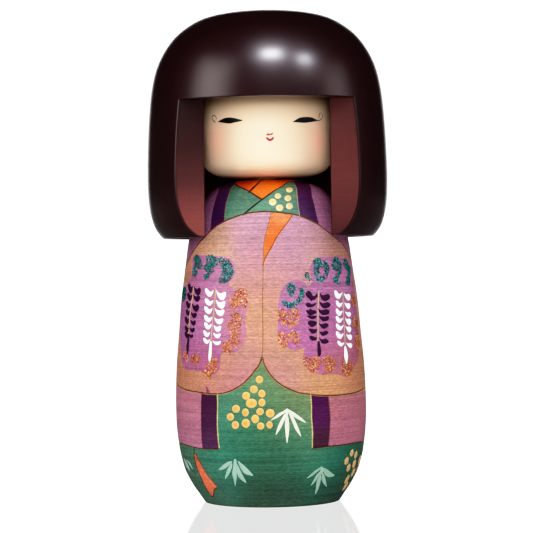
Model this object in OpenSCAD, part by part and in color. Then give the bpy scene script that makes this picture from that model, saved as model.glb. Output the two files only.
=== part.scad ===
// Kokeshi doll: a turned wooden figure with a hollow bob of hair, a face core
// glued inside it, and a round neck peg on which the whole head turns.
// Units are millimetres. +Z is up, the face looks along -Y, and the origin is
// at the centre of the flat base.

/* [Overall] */
// Height of the doll from the table to the crown
doll_h = 155; // [150:0.5:162]

/* [Body] */
// Widest diameter of the turned body
body_d = 60.7; // [56:0.1:62]
// Height of the body from the base to the neck seat
body_h = 101.8; // [101:0.1:102]
// Radius of the flat seat on top of the body
seat_r = 6; // [5:0.1:8]

/* [Hair] */
// Widest diameter of the bob
hair_d = 76.4; // [74:0.1:80]
// Height of the rim of the bob above the table
rim_z = 83.3; // [80:0.1:86]
// Diameter of the hollow inside the bob
hollow_d = 64; // [62:0.1:66]
// Height of the straight-cut fringe above the table
fringe_z = 125.5; // [120:0.1:128]
// Distance from the axis to the flat cut of the face window
window_y = 25.7; // [23:0.1:28]
// Height of the ceiling of the hollow above the fringe cut
ceiling_rise = 1.5; // [1:0.1:3]

/* [Face core] */
// Diameter of the face core
face_d = 41.4; // [38:0.1:44]
// Height of the chin above the table
chin_z = 102.1; // [102.1:0.1:103]
// Height of the rounded chin
chin_h = 8.3; // [6:0.1:10]
// Depth of the socket in the hair that holds the core
socket_depth = 10; // [6:0.5:12]
// Glue gap around the core in its socket
glue_gap = 0.1; // [0.05:0.05:0.2]

/* [Neck peg] */
// Diameter of the neck peg
peg_d = 8; // [6:0.1:9]
// Length of peg inside the face core
peg_up = 18; // [14:0.5:22]
// Length of peg inside the body
peg_down = 18; // [14:0.5:22]
// Radial running clearance of the peg in the body
peg_clear = 0.05; // [0.02:0.01:0.1]

/* [Hidden] */
$fn = 128;
steps = 4;                                // curve steps between profile points
hollow_z = fringe_z + ceiling_rise;       // ceiling of the hollow
socket_z = hollow_z + socket_depth;       // ceiling of the socket
peg_end = 3;                              // spare depth under the peg

// Body outline as [radius, height] shares of the widest radius and body height
body_outline = [
    [0.705, 0.000], [0.724, 0.006], [0.768, 0.025], [0.824, 0.049],
    [0.873, 0.075], [0.911, 0.099], [0.937, 0.125], [0.957, 0.150],
    [0.972, 0.175], [0.984, 0.202], [0.992, 0.226], [0.998, 0.256],
    [1.000, 0.295], [0.998, 0.349], [0.992, 0.398], [0.981, 0.447],
    [0.968, 0.492], [0.953, 0.541], [0.937, 0.600], [0.919, 0.649],
    [0.896, 0.698], [0.873, 0.747], [0.850, 0.796], [0.824, 0.835],
    [0.791, 0.870], [0.745, 0.904], [0.692, 0.931], [0.633, 0.953],
    [0.573, 0.969], [0.501, 0.980], [0.412, 0.990], [0.313, 0.997]
];

// Hair outline as [radius share, height share between rim and crown]
hair_outline = [
    [0.853, 0.003], [0.870, 0.001], [0.895, 0.014], [0.932, 0.041],
    [0.960, 0.075], [0.979, 0.109], [0.991, 0.148], [0.997, 0.190],
    [1.000, 0.245], [1.000, 0.290], [0.997, 0.350], [0.993, 0.405],
    [0.988, 0.470], [0.981, 0.525], [0.972, 0.585], [0.961, 0.637],
    [0.944, 0.690], [0.918, 0.744], [0.877, 0.797], [0.819, 0.849],
    [0.764, 0.886], [0.730, 0.904], [0.654, 0.934], [0.584, 0.957],
    [0.500, 0.974], [0.366, 0.989], [0.235, 0.9965], [0.118, 0.9993],
    [0.000, 1.000]
];

// One point of a Catmull-Rom curve through p, in the span after index i
function cr(a, b, c, d, t) =
    0.5 * ((2 * b) + (c - a) * t + (2 * a - 5 * b + 4 * c - d) * t * t
           + (3 * b - a - 3 * c + d) * t * t * t);
function smooth(p, n) = concat(
    [for (i = [0 : len(p) - 2], k = [0 : n - 1])
        cr(p[max(i - 1, 0)], p[i], p[i + 1], p[min(i + 2, len(p) - 1)], k / n)],
    [p[len(p) - 1]]);

body_curve = smooth([for (p = body_outline) [p[0] * body_d / 2, p[1] * body_h]], steps);
hair_curve = smooth([for (p = hair_outline)
    [p[0] * hair_d / 2, rim_z + p[1] * (doll_h - rim_z)]], steps);

// Chin: a soft superellipse corner between a small flat and the core's side
chin_flat = 4.8;
function chin(t) = [
    chin_flat + (face_d / 2 - chin_flat) * pow(sin(t), 2 / 3),
    chin_z + chin_h - chin_h * pow(cos(t), 2 / 3)];
chin_curve = [for (t = [0, 3, 8, 15, 24, 34, 45, 56, 66, 75, 82, 87, 90]) chin(t)];

// A round blind hole or plug from z0 to z1
module plug(d, z0, z1) {
    translate([0, 0, z0]) cylinder(d = d, h = z1 - z0);
}

// Turned body, with the blind bore that the neck peg turns in
module body() {
    color("mediumpurple")
    difference() {
        rotate_extrude()
            polygon(concat([[0, 0]], body_curve, [[seat_r, body_h], [0, body_h]]));
        plug(peg_d + 2 * peg_clear, body_h - peg_down - peg_end, body_h + 1);
    }
}

// Round peg, glued into the face core and free to turn in the body
module neck_peg() {
    z0 = body_h - peg_down;
    z1 = chin_z + peg_up;
    color("burlywood")
    rotate_extrude()
        polygon([[0, z0], [peg_d / 2 - 0.6, z0], [peg_d / 2, z0 + 0.6],
                 [peg_d / 2, z1 - 0.6], [peg_d / 2 - 0.6, z1], [0, z1]]);
}

// Face core: a barrel with a rounded chin, glued up into the hair
module face() {
    color("antiquewhite")
    difference() {
        rotate_extrude()
            polygon(concat([[0, chin_z]], chin_curve,
                           [[face_d / 2, socket_z - 0.8], [face_d / 2 - 0.8, socket_z],
                            [0, socket_z]]));
        plug(peg_d, chin_z - 1, chin_z + peg_up + 0.5);
    }
}

// Space inside the bob: the wide hollow with a small corner radius, and the socket
module hollow() {
    r = hollow_d / 2;
    c = ceiling_rise;
    rotate_extrude()
        polygon(concat(
            [[0, rim_z - 5], [r, rim_z - 5]],
            [for (a = [0 : 15 : 90]) [r - c + c * cos(a), hollow_z - c + c * sin(a)]],
            [[0, hollow_z]]));
    plug(face_d + 2 * glue_gap, hollow_z - 1, socket_z);
}

// Hollow bob of hair, with the front sawn away under the fringe
module hair() {
    color([0.13, 0.04, 0.05])
    difference() {
        rotate_extrude()
            polygon(concat([[0, rim_z + 0.2]], hair_curve));
        hollow();
        translate([-hair_d, -hair_d - window_y, rim_z - 10])
            cube([2 * hair_d, hair_d, fringe_z - rim_z + 10]);
    }
}

body();
neck_peg();
face();
hair();
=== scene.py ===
# Kokeshi doll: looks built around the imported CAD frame.
# All painted shapes are given as (u, z) points in millimetres on the turned surface:
# u is the arc from the middle of the front (at the widest radius), z the height.
import math
import random

import bpy
import numpy as np
from mathutils import Matrix, Vector
from mathutils.geometry import delaunay_2d_cdt


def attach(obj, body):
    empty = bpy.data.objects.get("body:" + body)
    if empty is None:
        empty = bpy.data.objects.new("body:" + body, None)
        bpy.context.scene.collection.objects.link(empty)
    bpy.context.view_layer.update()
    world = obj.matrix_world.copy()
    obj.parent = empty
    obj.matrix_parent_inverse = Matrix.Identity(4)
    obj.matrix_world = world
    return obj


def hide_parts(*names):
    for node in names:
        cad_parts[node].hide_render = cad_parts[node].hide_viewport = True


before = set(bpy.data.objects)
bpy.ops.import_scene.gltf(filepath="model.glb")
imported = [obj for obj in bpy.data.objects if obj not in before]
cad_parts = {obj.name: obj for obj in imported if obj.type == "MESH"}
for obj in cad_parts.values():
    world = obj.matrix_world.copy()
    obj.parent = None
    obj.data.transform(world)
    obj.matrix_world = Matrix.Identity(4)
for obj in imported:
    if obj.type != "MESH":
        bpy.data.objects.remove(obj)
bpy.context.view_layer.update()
rng = np.random.RandomState(7)
MM = 0.001

# ------------------------------------------------------------------ design data
PATTERN = {
    "sleeve": [(-52, 49), (-51.4, 56), (-49.5, 63), (-46.3, 69), (-42, 74), (-37.5, 77.6), (-32.73, 80.48), (-30.23, 82.15), (-27.73, 83.54), (-24.65, 85.47), (-21.36, 87.17), (-18.02, 88.4), (-14.76, 89.36), (-10.85, 90.3), (-6.98, 90.83), (-1.85, 91.15), (2.27, 90.95), (6.38, 90.6), (10.55, 90.11), (13.53, 89.51), (17.99, 88), (21.1, 86.82), (24.61, 84.99), (29.41, 82.88), (33.38, 81.14), (38.5, 78), (43, 74), (47.2, 69), (50.4, 63), (52.2, 56), (52.8, 49), (52.4, 43), (50.2, 38.6), (42.42, 35.63), (35.03, 34.83), (29.98, 34.39), (25.01, 34.25), (19.93, 34.31), (15.52, 34.61), (13.37, 34.85), (10.74, 35.23), (8.46, 35.67), (6.24, 36.59), (4.06, 37.64), (1.63, 39.42), (-0.22, 41.45), (-1.37, 43.31), (-2.07, 44.86), (-2.56, 46.62), (-3.4, 44.48), (-4.59, 42.92), (-6.21, 40.93), (-7.94, 39.21), (-9.79, 37.87), (-12.09, 36.64), (-14.82, 35.82), (-17.15, 35.5), (-21.22, 35.47), (-27.23, 35.85), (-31.32, 36.06), (-36, 36.62), (-41.14, 37.39), (-45.6, 39), (-49.6, 42.5)],
    "seam": [(1.25, 90.83), (0.35, 88.12), (-0.62, 85.15), (-1.37, 82.92), (-1.77, 80.78), (-1.98, 77.42), (-2.06, 74.37), (-2.09, 70.56), (-2.32, 64.02), (-2.27, 57.95), (-2.26, 51.88), (-2.56, 46.62)],
    "lining_r": [(9.95, 90.08), (8.13, 88.2), (5.11, 85.39), (2.67, 82.62), (1.35, 80.59), (0, 78.62), (-1.42, 76.5), (-2.06, 74.37)],
    "v_left": [(-41.26, 101.41), (-24.97, 100.4), (-10.14, 97.78), (-2.81, 95.01)],
    "v_right": [(13.88, 101.8), (14.52, 100.62), (3.55, 97.81), (-2.23, 95.16), (-7.18, 92.29), (-9.87, 90.53)],
    "slit": [(-1.6, 101.8), (-5.35, 101.45), (-7.12, 99.7), (-9.11, 97.86), (-9.73, 97.62)],
    "band_ul_l": [(-41.5, 101.16), (-43.87, 100.3), (-29.62, 97.37), (-27.06, 93.92), (-25.87, 90.15), (-24.64, 86.12)],
    "band_ul_r": [(-31.98, 101.5), (-24.3, 100.13), (-20.99, 98), (-20.18, 95.7), (-19.41, 93.12), (-18.69, 90.46), (-18.27, 88.28)],
    "band_ur_l": [(26.14, 101.1), (17.49, 99.38), (14.37, 96.17), (13.27, 93.32), (12.9, 89.63)],
    "band_ur_r": [(41.73, 101.08), (28.64, 99.45), (22.32, 95.47), (21.26, 91.45), (21.14, 86.79)],
    "band_ll_l": [(-23.54, 35.61), (-23.93, 33.76), (-24.05, 29.75), (-24.25, 24.19), (-24.52, 18.35)],
    "band_ll_r": [(-17.74, 35.52), (-17.6, 32.71), (-17.74, 29.04), (-17.89, 24.44), (-17.71, 18.52)],
    "band_lr_l": [(13.3, 34.89), (13, 30.73), (12.91, 28.57), (13.26, 24.95), (13.44, 21.08), (13.3, 18.56)],
    "band_lr_r": [(18.84, 34.36), (19.25, 29.72), (19.44, 27.54), (19.32, 23.92), (19.15, 20.76), (19.05, 18.73)],
    "gold_l": [(-17.48, 35.5), (-17.34, 32.42), (-17.48, 29.05), (-17.63, 24.45), (-17.49, 18.5)],
    "gold_r": [(12.49, 35.01), (12.67, 31.81), (12.6, 28.16), (12.93, 24.17), (13.09, 18.45)],
    "hem_l": [(-17.49, 18.5), (-24.66, 18.34), (-29.07, 18.49), (-34.31, 18.93), (-41.32, 19.12)],
    "hem_r": [(13.09, 18.45), (15.68, 18.59), (19.21, 18.75), (24.94, 18.79), (33.19, 18.89), (45.87, 18.39)],
    "flap_l": [(-29.16, 18.36), (-29.5, 16.9), (-29.82, 15.06), (-29.64, 12.07), (-29.01, 9.57), (-29.07, 6.83), (-28.83, 4.41), (-28.4, 2.52)],
    "flap_r": [(-29.5, 16.9), (-28.56, 16.3), (-27.66, 14.88), (-26.52, 13.03), (-25.35, 10.86), (-23.89, 9), (-22.61, 7.23), (-22.06, 6.19), (-24.54, 5.17), (-26.34, 3.65), (-28.4, 2.52)],
    "patch_l": [(-33.6, 77.87), (-25.93, 78.03), (-18.85, 77.66), (-14.81, 76.87), (-12.46, 75.24), (-11.87, 72.79), (-12.58, 70.78), (-14.26, 69.36), (-13.52, 67.92), (-10.63, 67.43), (-8.3, 67.17), (-7.28, 65.3), (-7.1, 62.68), (-7.6, 60.53), (-7.97, 58.13), (-7.8, 55.27), (-7.78, 53.51), (-8.53, 50.97), (-9.58, 49.12), (-11.94, 48.18), (-14.88, 48.11), (-16.46, 47.58), (-16.52, 46.36), (-16.43, 44.93), (-16.94, 42.73), (-18.48, 41.43), (-20.52, 41.18), (-22.51, 41.62), (-25.14, 42.29), (-29.35, 42.45), (-32.36, 42.62), (-35.66, 44.15), (-38.42, 48.43), (-42.09, 54.6), (-46.43, 60.82), (-46.45, 65.26), (-40.64, 67.84), (-36.75, 69.42), (-34.14, 71.23), (-34.11, 74.04)],
    "patch_r": [(14.98, 74.08), (16.52, 75.88), (19.12, 76.71), (23.79, 76.86), (30.63, 76.76), (37.75, 75.9), (40.8, 73.3), (39.62, 69.53), (39.08, 66.38), (39.31, 63.23), (39.19, 58.51), (39.15, 53.8), (38.14, 49.12), (35.87, 45.15), (32.63, 42.81), (29.32, 40.62), (25.99, 39.93), (23.58, 40.48), (21.57, 41), (18.7, 40.85), (16.23, 40.89), (13.92, 41.65), (12.17, 42.47), (11, 44.21), (10.46, 46.35), (10.92, 48.5), (11.52, 49.54), (9.51, 48.87), (8.06, 48.72), (6.55, 49.03), (5.07, 49.79), (3.6, 51.13), (2.5, 52.99), (2.38, 55.15), (2.69, 58), (2.74, 60.85), (2.92, 63.34), (3.69, 66.03), (4.72, 67.78), (6.14, 69.16), (8.21, 69.95), (10.84, 69.79), (12.33, 69.09), (13.46, 67.97), (14.49, 68.45), (15.2, 69.66), (15.05, 70.89), (14.76, 72.3)],
    "sliver": [(-22.14, 37.93), (-21.71, 37.84), (-20.05, 35.71), (-21.81, 35.76)],
    "stems": [
        [(-19.43, 67.66), (-19.55, 64.9), (-19.7, 61.31), (-20.12, 57.85), (-20.31, 53.81), (-20.51, 51.24)],
        [(-31.27, 68.18), (-31.23, 65.39), (-31.7, 62.47), (-32.22, 59.51), (-32.29, 55.85), (-32.41, 52.96)],
        [(17.65, 66.55), (17.12, 63.68), (16.55, 58.98), (16.22, 54.53), (15.89, 50.87)],
        [(29.14, 66.07), (28.83, 63.44), (28.28, 58.68), (28.1, 54.16), (27.65, 48.99)]],
    "tails_w": [
        [(-20.85, 51.36), (-20.14, 51.36), (-20.06, 49.47), (-20.03, 47.64), (-20.15, 46.11), (-20.62, 45.06), (-21.06, 45.6), (-21.26, 46.85), (-21.14, 48.84)],
        [(27.34, 49.12), (27.99, 49.1), (28.63, 47.34), (28.69, 45.79), (28.23, 44.42), (27.52, 43.55), (27.05, 44.47), (26.76, 46.03), (26.98, 47.71)]],
    "tails_d": [
        [(-32.72, 53.07), (-31.72, 53.09), (-31.56, 50.8), (-31.55, 48.94), (-31.9, 47.2), (-32.73, 47.98), (-33.37, 49.52), (-33.02, 51.39)],
        [(15.76, 51.15), (16.54, 51.13), (16.81, 49.62), (16.98, 47.88), (16.65, 46.82), (15.94, 46.24), (15.58, 46.86), (15.45, 48.14), (15.55, 49.67)]],
    "petals_w": [
        [(-24.206, 67.7661), (-23.4737, 67.7319), (-22.6773, 67.3181), (-22.0355, 66.7925), (-21.1384, 66.8214), (-20.3633, 67.1958), (-20.4577, 66.4949), (-20.839, 65.8013), (-21.4593, 65.2461), (-22.2202, 65.219), (-23.2217, 65.6012), (-24.0387, 66.4682), (-24.3603, 67.2654)],
        [(-23.9888, 64.6847), (-23.2418, 64.6614), (-22.4655, 64.307), (-21.8442, 63.8321), (-20.9493, 63.8612), (-20.1611, 64.2047), (-20.2767, 63.5878), (-20.6765, 62.9742), (-21.3174, 62.4769), (-22.0816, 62.4493), (-23.0838, 62.7826), (-23.8696, 63.5494), (-24.1602, 64.2541)],
        [(-23.9671, 62.2256), (-23.273, 62.2017), (-22.5371, 61.828), (-21.9452, 61.3424), (-21.0885, 61.3713), (-20.3429, 61.7255), (-20.467, 61.0871), (-20.8478, 60.4527), (-21.4587, 59.9364), (-22.1909, 59.9092), (-23.1321, 60.2515), (-23.8683, 61.0375), (-24.1401, 61.7732)],
        [(-23.8776, 59.5853), (-23.1825, 59.5616), (-22.4565, 59.2076), (-21.8747, 58.7422), (-21.0189, 58.7713), (-20.2624, 59.1153), (-20.3966, 58.4981), (-20.7869, 57.8837), (-21.408, 57.3867), (-22.1414, 57.3593), (-23.0828, 57.682), (-23.8084, 58.4377), (-24.06, 59.142)],
        [(-23.6451, 57.3466), (-23.0441, 57.322), (-22.4088, 56.9691), (-21.8962, 56.5127), (-21.1375, 56.5416), (-20.4738, 56.886), (-20.5872, 56.2764), (-20.9389, 55.6614), (-21.4699, 55.1759), (-22.1103, 55.1491), (-22.9406, 55.4704), (-23.5771, 56.2157), (-23.8, 56.9021)],
        [(-23.9456, 54.8863), (-23.3839, 54.862), (-22.7883, 54.5388), (-22.2959, 54.1126), (-21.5873, 54.1416), (-20.9736, 54.4659), (-21.0675, 53.8957), (-21.389, 53.3313), (-21.8904, 52.8656), (-22.4803, 52.8391), (-23.2608, 53.1406), (-23.8674, 53.8362), (-24.0901, 54.4827)],
        [(-23.7567, 52.5558), (-23.2129, 52.5417), (-22.6471, 52.248), (-22.1745, 51.8722), (-21.4883, 51.9014), (-20.892, 52.1851), (-20.997, 51.6971), (-21.2979, 51.1927), (-21.7891, 50.7762), (-22.3613, 50.7492), (-23.1023, 51.0116), (-23.6782, 51.6275), (-23.8901, 52.203)],
        [(24.782, 66.5151), (25.4638, 66.4627), (26.1279, 66.0417), (26.6328, 65.4831), (27.6392, 65.4908), (28.7156, 65.8764), (28.339, 65.1486), (27.6485, 64.4388), (26.7638, 63.8673), (25.941, 63.8488), (25.0439, 64.2567), (24.5274, 65.1558), (24.4691, 65.9803)],
        [(25.0411, 63.3647), (25.6148, 63.3324), (26.1794, 62.9905), (26.6334, 62.5428), (27.4686, 62.5407), (28.3471, 62.8456), (28.0589, 62.2884), (27.5089, 61.7292), (26.7847, 61.2776), (26.0907, 61.2688), (25.3324, 61.5981), (24.8666, 62.3082), (24.7992, 62.9612)],
        [(24.6122, 60.9052), (25.1937, 60.8627), (25.7783, 60.4913), (26.2428, 60.0031), (27.0993, 60.0109), (27.9758, 60.3363), (27.6976, 59.7264), (27.1572, 59.1178), (26.434, 58.6274), (25.7214, 58.6287), (24.9433, 58.9773), (24.4567, 59.758), (24.3695, 60.4626)],
        [(24.3007, 58.6045), (24.905, 58.5623), (25.5204, 58.2097), (26.0039, 57.7527), (26.878, 57.7507), (27.7776, 58.0453), (27.5083, 57.4876), (26.9689, 56.9192), (26.2254, 56.4678), (25.5007, 56.4688), (24.6813, 56.809), (24.1758, 57.5302), (24.0696, 58.1935)],
        [(24.1202, 56.2942), (24.7453, 56.2522), (25.3709, 55.8994), (25.8743, 55.4425), (26.7679, 55.4406), (27.6876, 55.7353), (27.4188, 55.1683), (26.8498, 54.6099), (26.0858, 54.1579), (25.3405, 54.1589), (24.501, 54.4992), (23.9856, 55.2304), (23.8795, 55.883)],
        [(23.8618, 53.925), (24.4737, 53.8827), (25.0885, 53.4912), (25.5826, 52.9831), (26.4787, 52.9808), (27.3956, 53.3064), (27.1079, 52.677), (26.528, 52.0484), (25.7646, 51.5576), (25.0315, 51.5587), (24.2031, 51.9275), (23.6967, 52.7379), (23.6094, 53.4725)],
        [(24.1481, 51.0034), (24.726, 50.962), (25.3022, 50.6585), (25.755, 50.2723), (26.5768, 50.2605), (27.4194, 50.5045), (27.1699, 50.0498), (26.6616, 49.5811), (25.9677, 49.2185), (25.2799, 49.229), (24.5192, 49.5106), (24.0348, 50.1222), (23.9395, 50.6727)],
        [(-19.2201, 67.3474), (-18.6575, 66.8483), (-17.8449, 66.3523), (-16.8229, 66.2805), (-15.8814, 66.6307), (-15.2508, 66.5706), (-15.11, 66.0303), (-15.2753, 65.0811), (-15.9159, 64.2928), (-16.8207, 64.1391), (-17.817, 64.6576), (-18.6456, 65.7431)],
        [(-19.1301, 64.4663), (-18.6074, 64.0082), (-17.8548, 63.5422), (-16.8927, 63.4805), (-16.0116, 63.8107), (-15.4108, 63.7506), (-15.29, 63.251), (-15.4549, 62.3819), (-16.0655, 61.653), (-16.9209, 61.5092), (-17.8471, 61.9877), (-18.6156, 62.9929)],
        [(-19.3503, 61.8649), (-18.8355, 61.447), (-18.0832, 61.0318), (-17.1235, 60.9804), (-16.2223, 61.2706), (-15.6187, 61.2291), (-15.51, 60.7819), (-15.6835, 60.0046), (-16.3132, 59.3543), (-17.1823, 59.2194), (-18.1091, 59.6393), (-18.8663, 60.5443)],
        [(-19.5504, 59.0737), (-19.0643, 58.6963), (-18.3524, 58.3316), (-17.4338, 58.2804), (-16.5726, 58.5506), (-15.9972, 58.5081), (-15.8899, 58.1226), (-16.0727, 57.416), (-16.6718, 56.835), (-17.5128, 56.7195), (-18.4004, 57.0903), (-19.1067, 57.895)],
        [(-19.7302, 56.8056), (-19.3273, 56.4281), (-18.7047, 56.0522), (-17.9227, 56.0005), (-17.1811, 56.2708), (-16.6904, 56.2403), (-16.6, 55.8317), (-16.7447, 55.1124), (-17.2554, 54.5131), (-17.9613, 54.3892), (-18.7171, 54.7777), (-19.3352, 55.5923)],
        [(-19.7504, 54.3536), (-19.3534, 54.0458), (-18.7516, 53.7514), (-17.9836, 53.7204), (-17.2528, 53.9405), (-16.7766, 53.9077), (-16.69, 53.6021), (-16.8325, 53.0364), (-17.3313, 52.5652), (-18.0331, 52.4695), (-18.7812, 52.7709), (-19.3773, 53.416)],
        [(-19.8907, 51.9719), (-19.4491, 51.7038), (-18.7894, 51.4509), (-17.9551, 51.4202), (-17.1542, 51.6103), (-16.6221, 51.5851), (-16.5399, 51.3337), (-16.6991, 50.8611), (-17.2477, 50.4467), (-18.0248, 50.3597), (-18.8458, 50.6137), (-19.4902, 51.1702)],
        [(29.7614, 65.782), (30.4637, 65.2827), (31.4602, 65.16), (32.678, 65.29), (33.886, 65.0661), (34.22, 64.4685), (33.9129, 63.8335), (33.1161, 63.258), (31.9226, 63.2584), (30.8615, 63.8488), (30.1037, 64.7343)],
        [(29.4529, 62.9344), (30.0627, 62.4631), (30.9303, 62.35), (31.9676, 62.4701), (32.9743, 62.2571), (33.2701, 61.7071), (33.0307, 61.1109), (32.3849, 60.5877), (31.3837, 60.5881), (30.4626, 61.1379), (29.7838, 61.964)],
        [(29.2419, 60.0827), (29.8856, 59.6921), (30.7597, 59.59), (31.7778, 59.68), (32.7989, 59.5047), (33.1508, 59.0611), (32.9627, 58.5933), (32.3478, 58.1785), (31.3413, 58.1887), (30.3675, 58.6418), (29.6399, 59.3101)],
        [(28.9644, 58.1771), (29.5709, 57.6638), (30.42, 57.53), (31.4173, 57.6601), (32.3926, 57.4282), (32.7102, 56.8254), (32.4988, 56.1883), (31.8834, 55.6272), (30.9051, 55.6277), (30.0041, 56.2266), (29.3143, 57.1132)],
        [(28.7837, 55.6958), (29.3615, 55.2236), (30.17, 55.1), (31.1073, 55.2201), (32.0228, 55.008), (32.3101, 54.4563), (32.0993, 53.869), (31.524, 53.3574), (30.6149, 53.3677), (29.7536, 53.917), (29.1141, 54.7335)],
        [(28.8032, 53.1848), (29.3823, 52.7332), (30.1897, 52.62), (31.1469, 52.7201), (32.0739, 52.5073), (32.3602, 51.9956), (32.1602, 51.4402), (31.5753, 50.9678), (30.6541, 50.978), (29.7824, 51.4981), (29.1335, 52.2746)],
        [(28.4726, 50.4737), (29.0533, 50.0629), (29.8394, 49.95), (30.767, 50.0401), (31.6657, 49.8463), (31.9604, 49.3936), (31.7808, 48.911), (31.2362, 48.4881), (30.3331, 48.4983), (29.4706, 48.9696), (28.8221, 49.6671)]],
    "petals_d": [
        [(12.3391, 65.6897), (13.1196, 66.4984), (14.0557, 66.5407), (14.7221, 65.7972), (15.133, 65.057), (15.8619, 65.148), (16.8951, 65.7499), (16.8733, 64.8245), (15.9525, 63.9082), (15.0066, 63.6982), (14.2323, 63.4285), (13.4536, 64.1538), (12.6436, 64.8853)],
        [(12.2052, 62.7566), (13.3703, 63.0277), (14.4062, 62.5183), (15.2651, 62.7649), (16.3595, 62.7165), (15.3495, 61.7965), (13.6223, 61.43), (12.4957, 61.7933)],
        [(12.1853, 60.728), (13.2321, 60.7314), (13.8548, 61.2499), (14.6027, 60.6963), (15.3188, 60.6912), (16.2737, 59.951), (14.8944, 59.3106), (13.5245, 58.9732), (12.5188, 59.7591)],
        [(12.2323, 58.9791), (13.8153, 59.0099), (15.0702, 59.0397), (16.162, 58.6441), (14.8681, 57.8537), (13.5328, 58.0516)],
        [(12.5534, 56.8669), (13.3379, 57.5555), (14.7435, 57.4452), (16.0127, 56.9262), (15.5658, 56.0369), (14.1704, 55.4103), (13.0091, 55.9288)],
        [(12.6616, 54.9821), (13.788, 55.1092), (14.8426, 54.8773), (16.0587, 54.6674), (15.3914, 53.7321), (14.0417, 53.4337), (13.1603, 54.1569)],
        [(12.866, 52.7545), (13.7627, 52.9273), (14.7248, 52.5592), (15.7085, 52.2178), (15.2091, 51.4323), (13.8712, 51.3138), (13.0622, 51.8771)],
        [(17.9241, 65.9376), (18.982, 65.2036), (20.033, 65.279), (21.4953, 65.5177), (22.3086, 64.7695), (21.7417, 63.8398), (19.8369, 63.22), (18.3772, 63.9252), (17.9557, 64.8705)],
        [(17.3329, 63.4788), (18.4191, 62.7811), (19.556, 62.7693), (20.871, 63.0384), (22.178, 62.3391), (21.8735, 61.6477), (20.9304, 61.2433), (19.2076, 61.0518), (17.8903, 61.763)],
        [(16.4284, 61.3778), (17.6426, 60.6534), (18.9577, 60.6995), (20.2321, 60.8882), (21.4523, 60.2756), (21.3126, 59.6068), (20.7312, 59.1635), (18.6369, 58.9719), (17.2583, 59.7638)],
        [(16.8719, 58.9523), (18.0503, 58.6085), (19.392, 58.6098), (20.6745, 58.7557), (21.1727, 57.9826), (19.9523, 57.1738), (18.1001, 57.2258), (17.2215, 57.9915)],
        [(16.693, 56.6568), (17.8621, 56.3), (19.4664, 56.679), (20.7983, 55.8518), (19.7062, 55.1418), (18.5243, 54.7609), (17.3425, 55.4196)],
        [(16.5211, 54.3428), (17.5332, 53.936), (18.4347, 54.0577), (19.4777, 54.2989), (20.3957, 53.6555), (19.1995, 52.8457), (17.5423, 52.7874)],
        [(16.4338, 52.1782), (17.5201, 51.6585), (19.0694, 51.8169), (20.3397, 50.9487), (19.1424, 50.2518), (17.3678, 50.3601), (16.8097, 51.1983)],
        [(-30.9775, 68.4333), (-29.8054, 67.8638), (-28.6918, 67.6493), (-27.57, 68.14), (-26.6399, 67.6214), (-26.3615, 66.9325), (-26.9171, 65.9522), (-28.0868, 65.5402), (-29.3862, 66.1073), (-30.4111, 67.1116)],
        [(-30.9993, 65.9621), (-29.8894, 65.4752), (-28.7905, 65.2994), (-27.6505, 65.72), (-26.7545, 65.2856), (-26.5034, 64.6843), (-27.1049, 63.8466), (-28.2855, 63.5002), (-29.551, 63.974), (-30.5188, 64.8184)],
        [(-31.1926, 63.1588), (-30.0768, 62.6243), (-28.9717, 62.4293), (-27.811, 62.9), (-26.9103, 62.4217), (-26.663, 61.7557), (-27.2813, 60.829), (-28.4755, 60.4402), (-29.7646, 60.9562), (-30.7324, 61.9033)],
        [(-31.5759, 60.5253), (-30.6408, 60.1356), (-29.7207, 59.9994), (-28.7112, 60.35), (-27.9451, 59.9961), (-27.7348, 59.4695), (-28.298, 58.7746), (-29.3444, 58.4801), (-30.4398, 58.8633), (-31.2301, 59.5602)],
        [(-31.6582, 58.1332), (-30.7998, 57.7653), (-29.9308, 57.6294), (-28.9913, 57.97), (-28.264, 57.6251), (-28.0749, 57.1192), (-28.6066, 56.4454), (-29.5842, 56.1601), (-30.6109, 56.5239), (-31.3515, 57.2021)],
        [(-32.1097, 55.7402), (-31.2259, 55.437), (-30.3294, 55.3296), (-29.3512, 55.62), (-28.6112, 55.3309), (-28.4169, 54.8736), (-28.9638, 54.2913), (-29.973, 54.05), (-31.0233, 54.3498), (-31.7952, 54.9241)],
        [(-32.1527, 53.6879), (-31.4352, 53.4469), (-30.7299, 53.3595), (-29.9515, 53.6), (-29.3515, 53.3611), (-29.1761, 52.9756), (-29.6223, 52.4821), (-30.4326, 52.28), (-31.2739, 52.5202), (-31.8958, 52.9948)],
        [(-36.0988, 68.849), (-35.21, 69.42), (-34.1868, 69.1183), (-33.2501, 68.3952), (-32.6912, 68.3161), (-31.7952, 68.5551), (-31.7257, 67.3579), (-32.322, 66.4111), (-33.4248, 66.1435), (-34.5311, 66.9335), (-35.5541, 67.8041)],
        [(-35.9071, 66.0329), (-34.9924, 66.49), (-34.0126, 66.261), (-33.147, 65.707), (-32.5401, 65.6476), (-31.64, 65.835), (-31.6518, 64.7467), (-32.3672, 64.0015), (-33.452, 63.7977), (-34.5168, 64.4059), (-35.4604, 65.0996)],
        [(-36.2966, 63.5145), (-35.4427, 63.96), (-34.5469, 63.7384), (-33.7834, 63.2255), (-33.2622, 63.1774), (-32.4216, 63.3387), (-32.4311, 62.2979), (-33.1035, 61.5935), (-34.1046, 61.3983), (-35.0637, 61.9706), (-35.9077, 62.6271)],
        [(-35.8022, 60.9546), (-35.016, 61.3099), (-34.2316, 61.1548), (-33.5964, 60.7605), (-33.1272, 60.728), (-32.3414, 60.8529), (-32.3969, 59.9075), (-33.0482, 59.371), (-33.9512, 59.2156), (-34.7877, 59.6501), (-35.5004, 60.1496)],
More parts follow.
